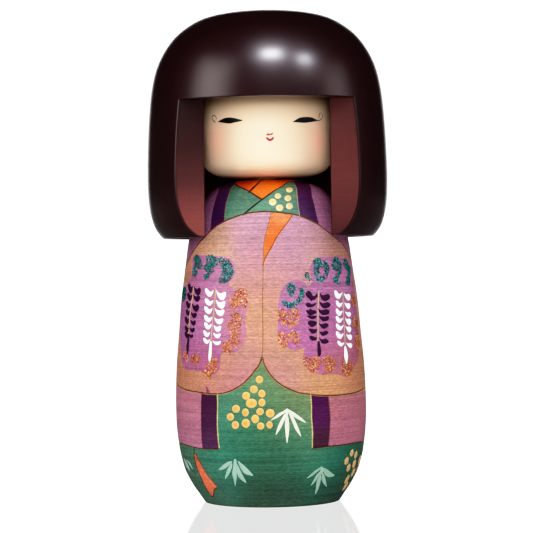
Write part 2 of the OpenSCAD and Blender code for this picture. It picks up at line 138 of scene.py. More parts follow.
        [(-36.2917, 58.62), (-35.4455, 59.06), (-34.5862, 58.8332), (-33.8844, 58.3118), (-33.4058, 58.2669), (-32.5501, 58.4293), (-32.602, 57.3763), (-33.2674, 56.6571), (-34.2674, 56.4489), (-35.1851, 57.0389), (-35.9723, 57.7136)],
        [(-35.735, 55.818), (-34.946, 56.1999), (-34.1524, 56.0209), (-33.5114, 55.5987), (-33.0429, 55.5673), (-32.2481, 55.7036), (-32.2936, 54.7367), (-32.934, 54.1279), (-33.8671, 53.9567), (-34.7181, 54.4368), (-35.4505, 54.9901)],
        [(-35.7082, 53.9435), (-34.9088, 54.2999), (-34.1162, 54.1467), (-33.4632, 53.7628), (-32.9794, 53.7377), (-32.1875, 53.8668), (-32.2258, 52.9189), (-32.8889, 52.3706), (-33.8092, 52.2152), (-34.6716, 52.6465), (-35.4049, 53.1342)]],
    "dots": [
        [(13.29, 97.91), (12.8, 97.56), (12.08, 97.27), (11.25, 97.12), (10.46, 97.12), (9.83, 97.28), (9.49, 97.56), (9.52, 97.91), (9.95, 98.26), (10.72, 98.55), (11.67, 98.7), (12.57, 98.7), (13.2, 98.55), (13.44, 98.26)],
        [(6.27, 95.97), (6.02, 95.58), (5.52, 95.28), (4.88, 95.11), (4.21, 95.11), (3.63, 95.29), (3.26, 95.6), (3.16, 95.99), (3.38, 96.37), (3.87, 96.68), (4.55, 96.85), (5.27, 96.84), (5.87, 96.67), (6.23, 96.35)],
        [(10.9, 95.22), (10.56, 94.81), (9.98, 94.48), (9.27, 94.3), (8.56, 94.3), (7.97, 94.49), (7.61, 94.82), (7.57, 95.23), (7.86, 95.64), (8.45, 95.97), (9.2, 96.15), (9.98, 96.15), (10.59, 95.96), (10.91, 95.63)],
        [(3.76, 94.06), (3.53, 93.57), (3.04, 93.18), (2.37, 92.97), (1.66, 92.98), (1.03, 93.2), (0.59, 93.6), (0.44, 94.09), (0.62, 94.58), (1.11, 94.97), (1.81, 95.18), (2.57, 95.17), (3.24, 94.95), (3.66, 94.55)],
        [(10.75, 92.73), (10.48, 92.29), (9.96, 91.95), (9.31, 91.76), (8.64, 91.76), (8.08, 91.96), (7.73, 92.31), (7.67, 92.74), (7.91, 93.18), (8.43, 93.52), (9.11, 93.71), (9.82, 93.71), (10.4, 93.51), (10.73, 93.16)],
        [(6.42, 92.25), (6.19, 91.8), (5.71, 91.45), (5.08, 91.26), (4.4, 91.26), (3.81, 91.47), (3.42, 91.83), (3.31, 92.28), (3.5, 92.72), (3.98, 93.08), (4.64, 93.27), (5.35, 93.26), (5.96, 93.06), (6.33, 92.7)],
        [(-2.34, 39.9), (-2.46, 39.39), (-2.79, 38.98), (-3.25, 38.76), (-3.77, 38.77), (-4.24, 39), (-4.57, 39.41), (-4.68, 39.92), (-4.56, 40.43), (-4.24, 40.84), (-3.77, 41.07), (-3.24, 41.06), (-2.78, 40.83), (-2.45, 40.42)],
        [(-4.01, 36.98), (-4.14, 36.47), (-4.48, 36.06), (-4.98, 35.84), (-5.53, 35.84), (-6.03, 36.07), (-6.37, 36.48), (-6.49, 36.99), (-6.37, 37.51), (-6.02, 37.92), (-5.52, 38.14), (-4.97, 38.14), (-4.47, 37.91), (-4.13, 37.49)],
        [(-1.7, 35.63), (-1.81, 35.1), (-2.12, 34.68), (-2.56, 34.45), (-3.05, 34.46), (-3.49, 34.7), (-3.79, 35.12), (-3.9, 35.65), (-3.79, 36.17), (-3.48, 36.59), (-3.03, 36.82), (-2.55, 36.82), (-2.11, 36.58), (-1.81, 36.15)],
        [(-6.41, 34.99), (-6.54, 34.45), (-6.89, 34.02), (-7.41, 33.78), (-7.99, 33.78), (-8.51, 34.02), (-8.87, 34.45), (-8.99, 34.99), (-8.86, 35.53), (-8.5, 35.96), (-7.98, 36.21), (-7.4, 36.21), (-6.88, 35.97), (-6.53, 35.53)],
        [(-4.32, 32.74), (-4.5, 32.11), (-4.99, 31.6), (-5.7, 31.33), (-6.49, 31.33), (-7.2, 31.61), (-7.69, 32.11), (-7.86, 32.75), (-7.68, 33.38), (-7.18, 33.89), (-6.46, 34.17), (-5.68, 34.17), (-4.97, 33.88), (-4.49, 33.37)],
        [(-1.72, 32.93), (-1.84, 32.4), (-2.15, 31.99), (-2.59, 31.76), (-3.08, 31.76), (-3.51, 32), (-3.82, 32.42), (-3.92, 32.95), (-3.81, 33.47), (-3.5, 33.89), (-3.06, 34.12), (-2.57, 34.12), (-2.13, 33.88), (-1.83, 33.46)],
        [(-9.72, 31.04), (-9.86, 30.51), (-10.22, 30.08), (-10.74, 29.84), (-11.33, 29.84), (-11.85, 30.07), (-12.22, 30.48), (-12.34, 31.01), (-12.21, 31.54), (-11.84, 31.97), (-11.3, 32.21), (-10.72, 32.22), (-10.2, 31.98), (-9.85, 31.56)],
        [(-6.91, 29.95), (-7.03, 29.41), (-7.33, 28.98), (-7.76, 28.74), (-8.23, 28.74), (-8.66, 28.98), (-8.96, 29.41), (-9.06, 29.95), (-8.95, 30.49), (-8.64, 30.92), (-8.21, 31.17), (-7.73, 31.17), (-7.31, 30.93), (-7.01, 30.49)],
        [(-2.27, 30.21), (-2.39, 29.71), (-2.71, 29.31), (-3.18, 29.09), (-3.7, 29.09), (-4.16, 29.32), (-4.48, 29.72), (-4.59, 30.22), (-4.47, 30.72), (-4.14, 31.12), (-3.67, 31.34), (-3.16, 31.34), (-2.69, 31.11), (-2.38, 30.71)],
        [(1.04, 29.64), (0.89, 29.07), (0.51, 28.61), (-0.04, 28.36), (-0.65, 28.37), (-1.19, 28.63), (-1.57, 29.1), (-1.7, 29.68), (-1.55, 30.26), (-1.17, 30.72), (-0.62, 30.97), (-0.01, 30.96), (0.53, 30.69), (0.91, 30.22)],
        [(-11.64, 28.58), (-11.77, 28.09), (-12.13, 27.7), (-12.64, 27.47), (-13.22, 27.46), (-13.73, 27.67), (-14.08, 28.06), (-14.21, 28.54), (-14.07, 29.04), (-13.7, 29.44), (-13.18, 29.66), (-12.61, 29.67), (-12.1, 29.46), (-11.76, 29.07)],
        [(-3.76, 27.97), (-3.88, 27.39), (-4.22, 26.93), (-4.7, 26.67), (-5.24, 26.67), (-5.72, 26.93), (-6.05, 27.4), (-6.16, 27.98), (-6.03, 28.56), (-5.69, 29.02), (-5.2, 29.28), (-4.67, 29.28), (-4.19, 29.02), (-3.87, 28.55)],
        [(-10.12, 26.1), (-10.25, 25.56), (-10.6, 25.12), (-11.09, 24.87), (-11.63, 24.86), (-12.12, 25.1), (-12.45, 25.53), (-12.56, 26.07), (-12.42, 26.62), (-12.07, 27.06), (-11.57, 27.3), (-11.03, 27.31), (-10.55, 27.08), (-10.22, 26.64)],
        [(-6.61, 26.64), (-6.75, 26.03), (-7.13, 25.55), (-7.67, 25.27), (-8.26, 25.27), (-8.79, 25.54), (-9.15, 26.02), (-9.27, 26.63), (-9.12, 27.24), (-8.74, 27.73), (-8.21, 28), (-7.62, 28), (-7.09, 27.73), (-6.73, 27.25)],
        [(-2.16, 25.8), (-2.28, 25.31), (-2.61, 24.92), (-3.08, 24.71), (-3.6, 24.71), (-4.07, 24.93), (-4.38, 25.33), (-4.49, 25.82), (-4.37, 26.3), (-4.04, 26.69), (-3.57, 26.91), (-3.05, 26.91), (-2.59, 26.68), (-2.27, 26.29)],
        [(0.4, 26.13), (0.29, 25.63), (0.02, 25.23), (-0.37, 25.02), (-0.81, 25.02), (-1.19, 25.25), (-1.46, 25.66), (-1.55, 26.16), (-1.45, 26.66), (-1.17, 27.06), (-0.78, 27.27), (-0.35, 27.27), (0.04, 27.04), (0.3, 26.63)],
        [(32.61, 15.69), (32.65, 15.24), (32.38, 14.9), (31.87, 14.74), (31.24, 14.8), (30.61, 15.05), (30.11, 15.45), (29.83, 15.92), (29.82, 16.37), (30.07, 16.71), (30.53, 16.87), (31.13, 16.82), (31.75, 16.57), (32.28, 16.16)],
        [(36.2, 14.78), (36.34, 14.31), (36.11, 13.96), (35.55, 13.8), (34.82, 13.86), (34.08, 14.13), (33.47, 14.56), (33.11, 15.05), (33.03, 15.52), (33.24, 15.87), (33.71, 16.04), (34.35, 15.98), (35.07, 15.72), (35.73, 15.29)],
        [(45.55, 12.31), (45.54, 11.76), (45.49, 11.33), (45.48, 11.09), (41.67, 11.43), (39.77, 11.85), (38.46, 12.4), (37.65, 13.02), (37.34, 13.59), (37.54, 14.01), (38.21, 14.2), (39.32, 14.1), (40.88, 13.72), (43.17, 13.07)],
        [(30.07, 13.4), (30.15, 12.91), (29.94, 12.55), (29.48, 12.37), (28.89, 12.42), (28.28, 12.69), (27.78, 13.11), (27.49, 13.61), (27.44, 14.09), (27.65, 14.45), (28.07, 14.63), (28.62, 14.58), (29.21, 14.32), (29.73, 13.9)],
        [(36.71, 11.91), (36.99, 11.38), (36.81, 10.99), (36.21, 10.82), (35.34, 10.89), (34.44, 11.2), (33.69, 11.67), (33.21, 12.22), (33.05, 12.74), (33.22, 13.13), (33.69, 13.31), (34.39, 13.25), (35.24, 12.95), (36.07, 12.47)],
        [(45.21, 10.1), (45.09, 9.72), (44.99, 9.43), (44.98, 9.26), (43.68, 9.37), (40.77, 9.81), (39.26, 10.25), (38.4, 10.72), (38.09, 11.13), (38.27, 11.42), (38.89, 11.53), (39.95, 11.44), (41.49, 11.13), (44.34, 10.56)],
        [(32.91, 11.05), (33.06, 10.56), (32.79, 10.2), (32.15, 10.04), (31.28, 10.11), (30.39, 10.4), (29.68, 10.85), (29.27, 11.36), (29.2, 11.84), (29.48, 12.2), (30.04, 12.37), (30.8, 12.3), (31.64, 12.02), (32.39, 11.57)],
        [(39.39, 8.98), (40.53, 8.39), (40.56, 7.99), (39.35, 7.88), (37.66, 8.03), (36.02, 8.4), (34.68, 8.91), (33.82, 9.48), (33.48, 10.01), (33.66, 10.39), (34.27, 10.55), (35.24, 10.47), (36.48, 10.14), (37.9, 9.61)],
        [(35.83, 7.05), (36.54, 6.49), (36.5, 6.1), (35.66, 5.95), (34.35, 6.07), (32.96, 6.41), (31.78, 6.91), (30.97, 7.48), (30.62, 8.01), (30.72, 8.4), (31.27, 8.57), (32.19, 8.49), (33.37, 8.17), (34.67, 7.65)],
        [(38.51, 4.66), (40.21, 4.05), (40.61, 3.65), (39.15, 3.58), (37.04, 3.76), (35.02, 4.14), (33.4, 4.65), (32.33, 5.2), (31.85, 5.69), (31.92, 6.05), (32.5, 6.21), (33.54, 6.12), (34.96, 5.79), (36.66, 5.27)],
        [(44.29, 4.52), (44.19, 4.18), (44.17, 3.89), (44.14, 3.74), (44.15, 3.74), (44.21, 3.89), (39.96, 4.55), (38.06, 5.08), (37.27, 5.51), (37.26, 5.79), (37.99, 5.89), (39.54, 5.75), (43.15, 5.27), (44.42, 4.87)]],
    "leaf_cream": [
        [(4.84565, 30.9128), (3.66873, 30.3137), (2.22019, 29.5773), (0.788961, 28.4934), (-0.35433, 27.4269), (0.784951, 27.7463), (2.17578, 28.3991), (3.49482, 29.2506), (4.47525, 29.86)],
        [(4.1647, 29.5577), (3.18275, 28.1087), (2.4395, 26.7003), (1.67163, 24.8842), (1.184, 22.923), (2.18132, 24.0443), (2.99753, 25.2962), (3.67791, 26.646), (4.36116, 27.9344), (4.65949, 29.0352)],
        [(4.8176, 29.5), (4.39381, 28.1405), (4.10503, 26.3208), (4.14105, 24.5008), (4.3455, 22.3505), (4.71783, 20.29), (5.18552, 22.3295), (5.48508, 24.4592), (5.4825, 26.4092), (5.25607, 28.2395)],
        [(5.34863, 29.6197), (5.88069, 28.0811), (6.54794, 26.385), (7.34991, 24.5212), (8.27781, 23.2546), (9.31244, 22.166), (8.79115, 23.9397), (8.03308, 25.8055), (7.15287, 27.6354), (6.34549, 29.1418)],
        [(4.87501, 30.911), (6.62252, 30.0054), (8.40617, 28.8005), (9.89672, 27.5473), (10.9767, 26.3794), (9.62159, 26.8543), (8.20727, 27.5843), (6.85123, 28.4358), (5.6528, 29.522)]],
    "leaf_green": [
        [(-13.22, 14.87), (-14.95, 14.64), (-17, 13.48), (-18.98, 12.05), (-17.11, 12.12), (-15.42, 12.9), (-13.81, 13.98)],
        [(-13.29, 14.37), (-14.8, 13.02), (-16.06, 11.31), (-17.17, 9.14), (-15.56, 10.25), (-14.28, 11.68), (-13.53, 13.12)],
        [(-12.16, 15.58), (-12.9, 14.07), (-13.36, 12.59), (-13.89, 10.94), (-13.74, 8.97), (-13.86, 6.8), (-12.78, 8.71), (-12.15, 10.54), (-11.86, 12.22), (-11.88, 14.03)],
        [(-11.94, 14.4), (-11.08, 13.08), (-10.5, 11.55), (-9.83, 9.99), (-9.13, 8.17), (-10.01, 8.32), (-11.2, 9.26), (-11.9, 10.52), (-12.13, 12.34)],
        [(-11.27, 15.13), (-9.86, 14.16), (-8.36, 12.84), (-7.28, 11.66), (-6.4, 10.44), (-8, 10.58), (-9.3, 11.01), (-10.28, 12.19), (-10.92, 13.61)],
        [(16.89, 12.46), (15.2, 11.69), (13.44, 10.44), (11.96, 9.09), (13.82, 9.69), (15.57, 10.88), (16.89, 11.78)],
        [(17.28, 11.41), (15.68, 10.15), (14.94, 8.54), (14.3, 6.52), (15.69, 7.73), (16.43, 8.9), (17.43, 10.05)],
        [(17.21, 10.25), (16.34, 8.59), (16.6, 6.52), (17.52, 3.57), (18.19, 5.16), (18.09, 7.29), (17.92, 9.25)],
        [(17.91, 10.39), (18.24, 8.63), (19.45, 7.14), (21.93, 5.74), (20.92, 7.16), (19.78, 8.68), (18.66, 10.09)],
        [(17.22, 12.38), (19.11, 11.82), (21.36, 10.66), (23.94, 9.23), (21.34, 8.95), (19.46, 9.59), (18.2, 10.88)],
        [(-39.38, 14.56), (-39.53, 13.15), (-38.6, 11.48), (-35.99, 10.26), (-36.08, 11.85), (-37.12, 13.29)],
        [(-36.82, 14.17), (-35.26, 12.99), (-34.27, 12.05), (-32.91, 11.08), (-33.15, 12.26), (-34.15, 13.45)],
        [(40.09, 16.77), (45.72, 15.59), (45.68, 14.52), (45.61, 13.51), (40.25, 15.18)]],
    "leaf_hub": [
        [(4.55, 30.75), (4.86, 31.01), (5.2, 30.76), (5.34, 29.57), (4.88, 28.98), (4.39, 29.54)],
        [(-12.62, 15.23), (-12.15, 15.68), (-11.67, 15.28), (-11.74, 14.03), (-12.42, 13.39), (-12.86, 14.07)],
        [(16.81, 12.25), (17.26, 12.57), (17.86, 12.15), (18.09, 10.63), (17.8, 9.89), (17.09, 10.76)]],
    "teal": [
        [(-32.0891, 78.1081), (-29.451, 77.5465), (-28.1774, 76.1564), (-27.038, 74.2765), (-29.5485, 74.1279), (-31.2006, 75.2908), (-32.8234, 76.8563)],
        [(-32.3436, 75.6266), (-30.8444, 74.8207), (-30.9608, 73.5277), (-29.4976, 72.9262), (-30.3939, 71.6475), (-32.302, 71.614), (-32.78, 73.4082)],
        [(-24.6809, 77.629), (-21.8252, 77.7654), (-19.8089, 76.6598), (-19.5617, 75.1563), (-21.1601, 74.1555), (-22.665, 73.127), (-24.7222, 73.2622), (-25.9589, 74.4117), (-24.6649, 75.4701)],
        [(-20.9759, 73.0065), (-22.6521, 72.0471), (-23.2014, 70.9691), (-24.6822, 70.4924), (-25.5687, 71.5345), (-24.0602, 72.3558), (-22.4709, 73.1683)],
        [(-18.9865, 76.5889), (-17.2841, 76.9728), (-16.4137, 76.0927), (-15.4446, 76.4853), (-14.12, 75.5596), (-13.0439, 73.6297), (-12.5937, 72.4699), (-13.4655, 71.2361), (-14.4603, 70.0123), (-16.1129, 69.3401), (-18.0873, 69.8827), (-18.4383, 70.8615), (-16.7621, 70.8578), (-16.1126, 71.4534), (-17.2738, 71.9882), (-16.5893, 73.4222), (-18.2715, 75.1122)],
        [(-42.5463, 68.1564), (-38.3355, 67.8703), (-36.8482, 66.3496), (-37.4062, 64.3881), (-40.6524, 63.6663), (-43.2799, 65.8381)],
        [(16.6134, 76.0436), (19.0883, 76.3021), (19.9702, 75.2516), (21.6139, 75.5833), (22.8418, 74.4376), (22.8872, 72.7161), (21.6628, 71.0218), (19.8465, 69.7623), (18.1517, 69.3308), (16.9511, 70.3322), (19.0097, 70.7085), (20.57, 71.551), (21.0406, 72.7938), (20.4448, 73.7717), (18.9839, 73.6801), (17.1324, 73.8969)],
        [(16.276, 73.3238), (17.6588, 73.5466), (18.5, 72.3089), (17.6343, 71.0668), (16.4475, 71.5234)],
        [(25.5319, 75.6013), (27.9576, 76.7383), (30.3574, 74.9752), (30.2488, 72.9758), (28.6197, 71.1088), (27.0435, 70.0268), (27.9946, 68.6142), (25.4921, 68.7883), (24.7041, 70.1876), (26.8069, 71.3152), (27.6883, 72.262), (26.0007, 72.8352), (24.8237, 74.1496)],
        [(33.761, 76.18), (36.9251, 74.6436), (38.2127, 72.604), (35.8819, 70.2062), (35.5787, 68.7292), (33.0108, 67.9519), (32.3354, 69.3927), (34.319, 71.04), (35.3543, 72.0121), (32.622, 73.4111), (32.0376, 74.5762)],
        [(10.2855, 67.294), (11.7016, 66.8981), (11.7695, 65.1428), (10.7165, 63.6754), (9.21936, 62.5352), (7.24164, 61.444), (5.66633, 61.8916), (4.13538, 63.3317), (5.576, 63.4051), (7.2394, 62.9797), (8.52886, 63.5299), (9.54438, 64.3448), (10.2367, 65.464)],
        [(5.99472, 67.9413), (7.76297, 68.8558), (8.76835, 67.3969), (8.25454, 65.6802), (7.10216, 65.093), (6.41546, 66.439)],
        [(12.98, 72.366), (13.9977, 71.4917), (13.41, 70.394), (12.5623, 70.9183)],
        [(14.0156, 70.6162), (15.0647, 70.2907), (14.3814, 69.5545)]],
    "amber": [
        [(-10.9421, 67.3452), (-8.06946, 67.1311), (-7.3829, 65.0293), (-7.45007, 62.8417), (-8.9187, 61.3918), (-9.71718, 62.9927), (-10.9226, 61.6893), (-12.7256, 61.6131), (-13.4566, 63.7833), (-12.3448, 65.6898)],
        [(-12.5802, 59.6396), (-10.6014, 60.1189), (-9.51012, 58.5216), (-9.60784, 56.3392), (-10.0932, 55.3685), (-9.94601, 53.7989), (-11.9494, 52.2829), (-13.1898, 54.2683), (-12.3104, 55.3107), (-14.2292, 55.5017), (-14.1711, 57.0022), (-12.8093, 57.7975)],
        [(-11.89, 52.76), (-9.38583, 51.695), (-10.9797, 50.0408), (-12.6273, 49.5611), (-12.7422, 47.9038), (-14.6292, 48.4558), (-15.866, 49.54), (-15.4571, 51.2856), (-13.5015, 51.9377)],
        [(-35.246, 47.518), (-33.043, 48.2646), (-31.47, 46.9181), (-32.3484, 45.4151), (-34.5157, 45.7596)],
        [(-29.5992, 46.4346), (-27.4307, 47.3999), (-25.44, 46.4521), (-25.8995, 44.7057), (-28.2164, 44.11), (-29.7461, 44.8621)],
        [(-20.7975, 45.7818), (-18.7567, 46.2471), (-17.4599, 44.8978), (-17.6562, 42.9537), (-19.1567, 41.9899), (-20.8042, 40.1311), (-22.4924, 41.4577), (-22.7848, 43.2683), (-21.3793, 44.4007)],
        [(2.69427, 60.5307), (4.42259, 60.9313), (4.85796, 59.2109), (5.64723, 57.9555), (6.88135, 57.3695), (7.80991, 57.7833), (8.1321, 58.758), (7.98922, 59.2796), (6.89275, 58.0218), (5.44044, 58.4804), (5.57654, 60.1679), (7.07265, 60.7208), (9.1466, 60.887), (9.55851, 58.9246), (8.9855, 57.0064), (7.57474, 55.8237), (5.87781, 55.6926), (4.14607, 56.6416), (2.93841, 58.2282)],
        [(3.02919, 54.0737), (4.65449, 53.5741), (5.13754, 52.6399), (5.82076, 53.5481), (7.43359, 54.3762), (9.11024, 53.8631), (9.57835, 52.0928), (8.68137, 50.0422), (7.21558, 51.2059), (6.89766, 52.0563), (6.00037, 51.4673), (5.25975, 50.3777), (4.09426, 49.5469), (2.7658, 50.7893), (2.4301, 52.5593)],
        [(10.5456, 46.2189), (12.2628, 46.4878), (13.0284, 45.2944), (14.1489, 46.1419), (15.9899, 46.2532), (16.309, 44.2246), (15.2303, 42.3673), (13.3132, 41.6571), (11.6343, 42.952), (10.7263, 44.3336)],
        [(17.2819, 45.7422), (19.6389, 46.3982), (21.9211, 45.3684), (22.1497, 43.0205), (20.1949, 41.5687), (18.0463, 42.1803), (17.5617, 43.8417)],
        [(25.6533, 44.2756), (28.6399, 44.7203), (30.7757, 43.0608), (30.0734, 40.6304), (27.7466, 39.5401), (25.6559, 40.5603), (24.9102, 42.4763)],
        [(35.4968, 64.4279), (37.9604, 64.1044), (38.2417, 62.2557), (36.114, 61.0607), (34.3352, 62.2538)],
        [(34.7817, 57.6254), (38.2022, 57.6218), (39.4335, 55.7732), (36.5906, 54.4031), (34.1972, 55.2221)],
        [(35.8249, 52.6777), (38.9158, 52.4006), (38.9837, 50.15), (36.7108, 48.0409), (34.1812, 48.786), (34.6054, 50.9787)]],
    "eye_l": [(-17.06, 119.47), (-15.86, 119.98), (-14.2, 120.47), (-12.43, 120.59), (-10.55, 120.34), (-9.09, 119.93), (-7.55, 119.53), (-8.25, 119.15), (-10.08, 118.9), (-12.13, 118.62), (-14.32, 118.9), (-16.06, 119.22)],
    "eye_r": [(8.23, 118.72), (9.26, 119.38), (10.75, 120.09), (12.88, 120.39), (14.19, 120.4), (15.75, 120.24), (17.15, 119.83), (18.73, 119.4), (16.35, 118.99), (14.53, 118.74), (12.85, 118.5), (10.73, 118.51), (9.18, 118.61)],
    "lash": [
        [(-18.28, 119.42), (-19.47, 120.06), (-20.12, 120.91), (-19.71, 121.48), (-18.79, 121.57), (-18.04, 121.02), (-17.71, 120.25)],
        [(18.52, 119.39), (19.77, 119.8), (20.78, 120.47), (21.05, 121.11), (20.45, 121.58)],
        [(18.65, 120.18), (19.04, 121.1), (19.72, 122.2)]],
    "nose": [(-0.23, 114.85), (0.24, 115.24), (0.91, 115.11), (1.81, 115.41), (1.87, 114.92), (0.91, 114.56), (0.1, 114.51)],
    "mouth": [(-0.27, 114.11), (0.22, 113.98), (0.55, 113.7), (0.95, 113.57), (1.39, 113.72), (1.7, 114.02), (2.14, 114.14), (2.09, 113.5), (1.65, 113.01), (0.97, 112.74), (0.33, 112.96), (-0.19, 113.49)],
}


BODY_R, BODY_H, SEAT_R, BORE_R, BORE_Z = 30.35, 101.8, 6.0, 4.05, 80.8
BODY_OUT = [
    (0.705, 0.000), (0.724, 0.006), (0.768, 0.025), (0.824, 0.049), (0.873, 0.075), (0.911, 0.099),
    (0.937, 0.125), (0.957, 0.150), (0.972, 0.175), (0.984, 0.202), (0.992, 0.226), (0.998, 0.256),
    (1.000, 0.295), (0.998, 0.349), (0.992, 0.398), (0.981, 0.447), (0.968, 0.492), (0.953, 0.541),
    (0.937, 0.600), (0.919, 0.649), (0.896, 0.698), (0.873, 0.747), (0.850, 0.796), (0.824, 0.835),
    (0.791, 0.870), (0.745, 0.904), (0.692, 0.931), (0.633, 0.953), (0.573, 0.969), (0.501, 0.980),
    (0.412, 0.990), (0.313, 0.997)]
HAIR_R, RIM_Z, TOP_Z = 38.2, 83.3, 155.0
HOLLOW_R, FRINGE_Z, WINDOW_Y, CEIL_Z, SOCKET_R, SOCKET_Z = 32.0, 125.5, 25.7, 127.0, 20.8, 137.0
HAIR_OUT = [
    (0.853, 0.003), (0.870, 0.001), (0.895, 0.014), (0.932, 0.041), (0.960, 0.075), (0.979, 0.109),
    (0.991, 0.148), (0.997, 0.190), (1.000, 0.245), (1.000, 0.290), (0.997, 0.350), (0.993, 0.405),
    (0.988, 0.470), (0.981, 0.525), (0.972, 0.585), (0.961, 0.637), (0.944, 0.690), (0.918, 0.744),
    (0.877, 0.797), (0.819, 0.849), (0.764, 0.886), (0.730, 0.904), (0.654, 0.934), (0.584, 0.957),
    (0.500, 0.974), (0.366, 0.989), (0.235, 0.9965), (0.118, 0.9993), (0.000, 1.000)]
FACE_R, CHIN_Z, CHIN_H, CHIN_FLAT = 20.7, 102.1, 8.3, 4.8


# ------------------------------------------------------------------ small maths
def cr(a, b, c, d, t):
    return 0.5 * ((2 * b) + (c - a) * t + (2 * a - 5 * b + 4 * c - d) * t * t + (3 * b - a - 3 * c + d) * t ** 3)


def smooth(points, n, closed=False):
    p = [np.array(q, float) for q in points]
    m = len(p)
    out = []
    for i in range(m if closed else m - 1):
        if closed:
            a, b, c, d = p[(i - 1) % m], p[i], p[(i + 1) % m], p[(i + 2) % m]
        else:
            a, b, c, d = p[max(i - 1, 0)], p[i], p[i + 1], p[min(i + 2, m - 1)]
        for k in range(n):
            out.append(cr(a, b, c, d, k / n))
    if not closed:
        out.append(p[-1])
    return np.array(out)


def resample(p, step, closed=False):
    p = np.asarray(p, float)
    if closed:
        p = np.vstack([p, p[:1]])
    seg = np.hypot(*np.diff(p, axis=0).T)
    keep = np.concatenate([[True], seg > 1e-6])
    p = p[keep]
    t = np.concatenate([[0], np.cumsum(np.hypot(*np.diff(p, axis=0).T))])
    n = max(int(math.ceil(t[-1] / step)), 3 if closed else 1)
    s = np.linspace(0, t[-1], n + 1)
    q = np.stack([np.interp(s, t, p[:, 0]), np.interp(s, t, p[:, 1])], 1)
    return q[:-1] if closed else q


def inside(poly, pts):
    poly = np.asarray(poly, float)
    x, y = pts[:, 0], pts[:, 1]
    r = np.zeros(len(pts), bool)
    j = len(poly) - 1
    for i in range(len(poly)):
        xi, yi = poly[i]
        xj, yj = poly[j]
        if yi != yj:
            c = (yi > y) != (yj > y)
            r ^= c & (x < (xj - xi) * (y - yi) / (yj - yi) + xi)
        j = i
    return r


def seg_dist(line, pts, closed=False):
    line = np.asarray(line, float)
    if closed:
        line = np.vstack([line, line[:1]])
    best = np.full(len(pts), 1e9)
    for a, b in zip(line[:-1], line[1:]):
        d = b - a
        l2 = float(d @ d) or 1e-12
        t = np.clip(((pts - a) @ d) / l2, 0, 1)
        q = pts - (a + t[:, None] * d)
        best = np.minimum(best, q[:, 0] ** 2 + q[:, 1] ** 2)
    return np.sqrt(best)


def near(line, pts, reach, closed=False):
    """Distance to a polyline for the points within reach of its box, and 1e3 elsewhere."""
    line = np.asarray(line, float)
    lo, hi = line.min(0) - reach, line.max(0) + reach
    m = ((pts >= lo) & (pts <= hi)).all(1)
    d = np.full(len(pts), 1e3)
    if m.any():
        d[m] = seg_dist(line, pts[m], closed)
    return d


def lin(c):
    c = np.asarray(c, float) / 255.0
    return np.where(c <= 0.04045, c / 12.92, ((c + 0.055) / 1.055) ** 2.4)


def vnoise(p, seed, scale):
    """Smooth value noise over 2-D points, -1 to 1."""
    r = np.random.RandomState(seed)
    tab = r.uniform(-1, 1, (64, 64))
    q = np.asarray(p, float) / scale
    i = np.floor(q).astype(int)
    f = q - i
    f = f * f * (3 - 2 * f)
    i0, j0 = i[:, 0] % 64, i[:, 1] % 64
    i1, j1 = (i0 + 1) % 64, (j0 + 1) % 64
    return ((tab[i0, j0] * (1 - f[:, 0]) + tab[i1, j0] * f[:, 0]) * (1 - f[:, 1])
            + (tab[i0, j1] * (1 - f[:, 0]) + tab[i1, j1] * f[:, 0]) * f[:, 1])


def round_noise(uz, stretch, seed, scale):
    """Value noise on the body that meets itself at the back."""
    turn = 2 * math.pi * BODY_R
    k = np.array([stretch, 1.0])
    w = np.clip((uz[:, 0] - (U1 - 14.0)) / 14.0, 0, 1)
    return vnoise(uz * k, seed, scale) * (1 - w) + vnoise((uz - np.array([turn, 0])) * k, seed, scale) * w


def blend_colours(table, pts, sigma):
    """Airbrushed gradient: each entry is (u, z, colour); weights fall off with distance."""
    c = np.array([[t[0], t[1]] for t in table], float)
    col = lin(np.array([t[2] for t in table], float))
    turn = 2 * math.pi * BODY_R
    du = (pts[:, None, 0] - c[None, :, 0] + turn / 2) % turn - turn / 2
    d2 = du ** 2 + (pts[:, None, 1] - c[None, :, 1]) ** 2
    d2 -= d2.min(1, keepdims=True)
    w = np.exp(-d2 / (2 * sigma * sigma))
    return (w @ col) / w.sum(1, keepdims=True)


# ------------------------------------------------------------------ the turned body surface
curve = smooth([(a * BODY_R, b * BODY_H) for a, b in BODY_OUT], 8)
curve = np.vstack([curve, [[SEAT_R, BODY_H]]])
arc = np.concatenate([[0], np.cumsum(np.hypot(*np.diff(curve, axis=0).T))])
S_TOP = arc[-1]
INSET = 0.12                               # room under the CAD surface for the raised paint
tr, tz = np.gradient(curve[:, 0], arc), np.gradient(curve[:, 1], arc)
tl = np.hypot(tr, tz)
nr_t, nz_t = tz / tl, -tr / tl


def s_of(z):
    return np.interp(z, curve[:, 1], arc)


def z_of(s):
    return np.interp(s, arc, curve[:, 1])


def to_s(points):
    p = np.asarray(points, float)
    return np.stack([p[:, 0], s_of(p[:, 1])], 1)


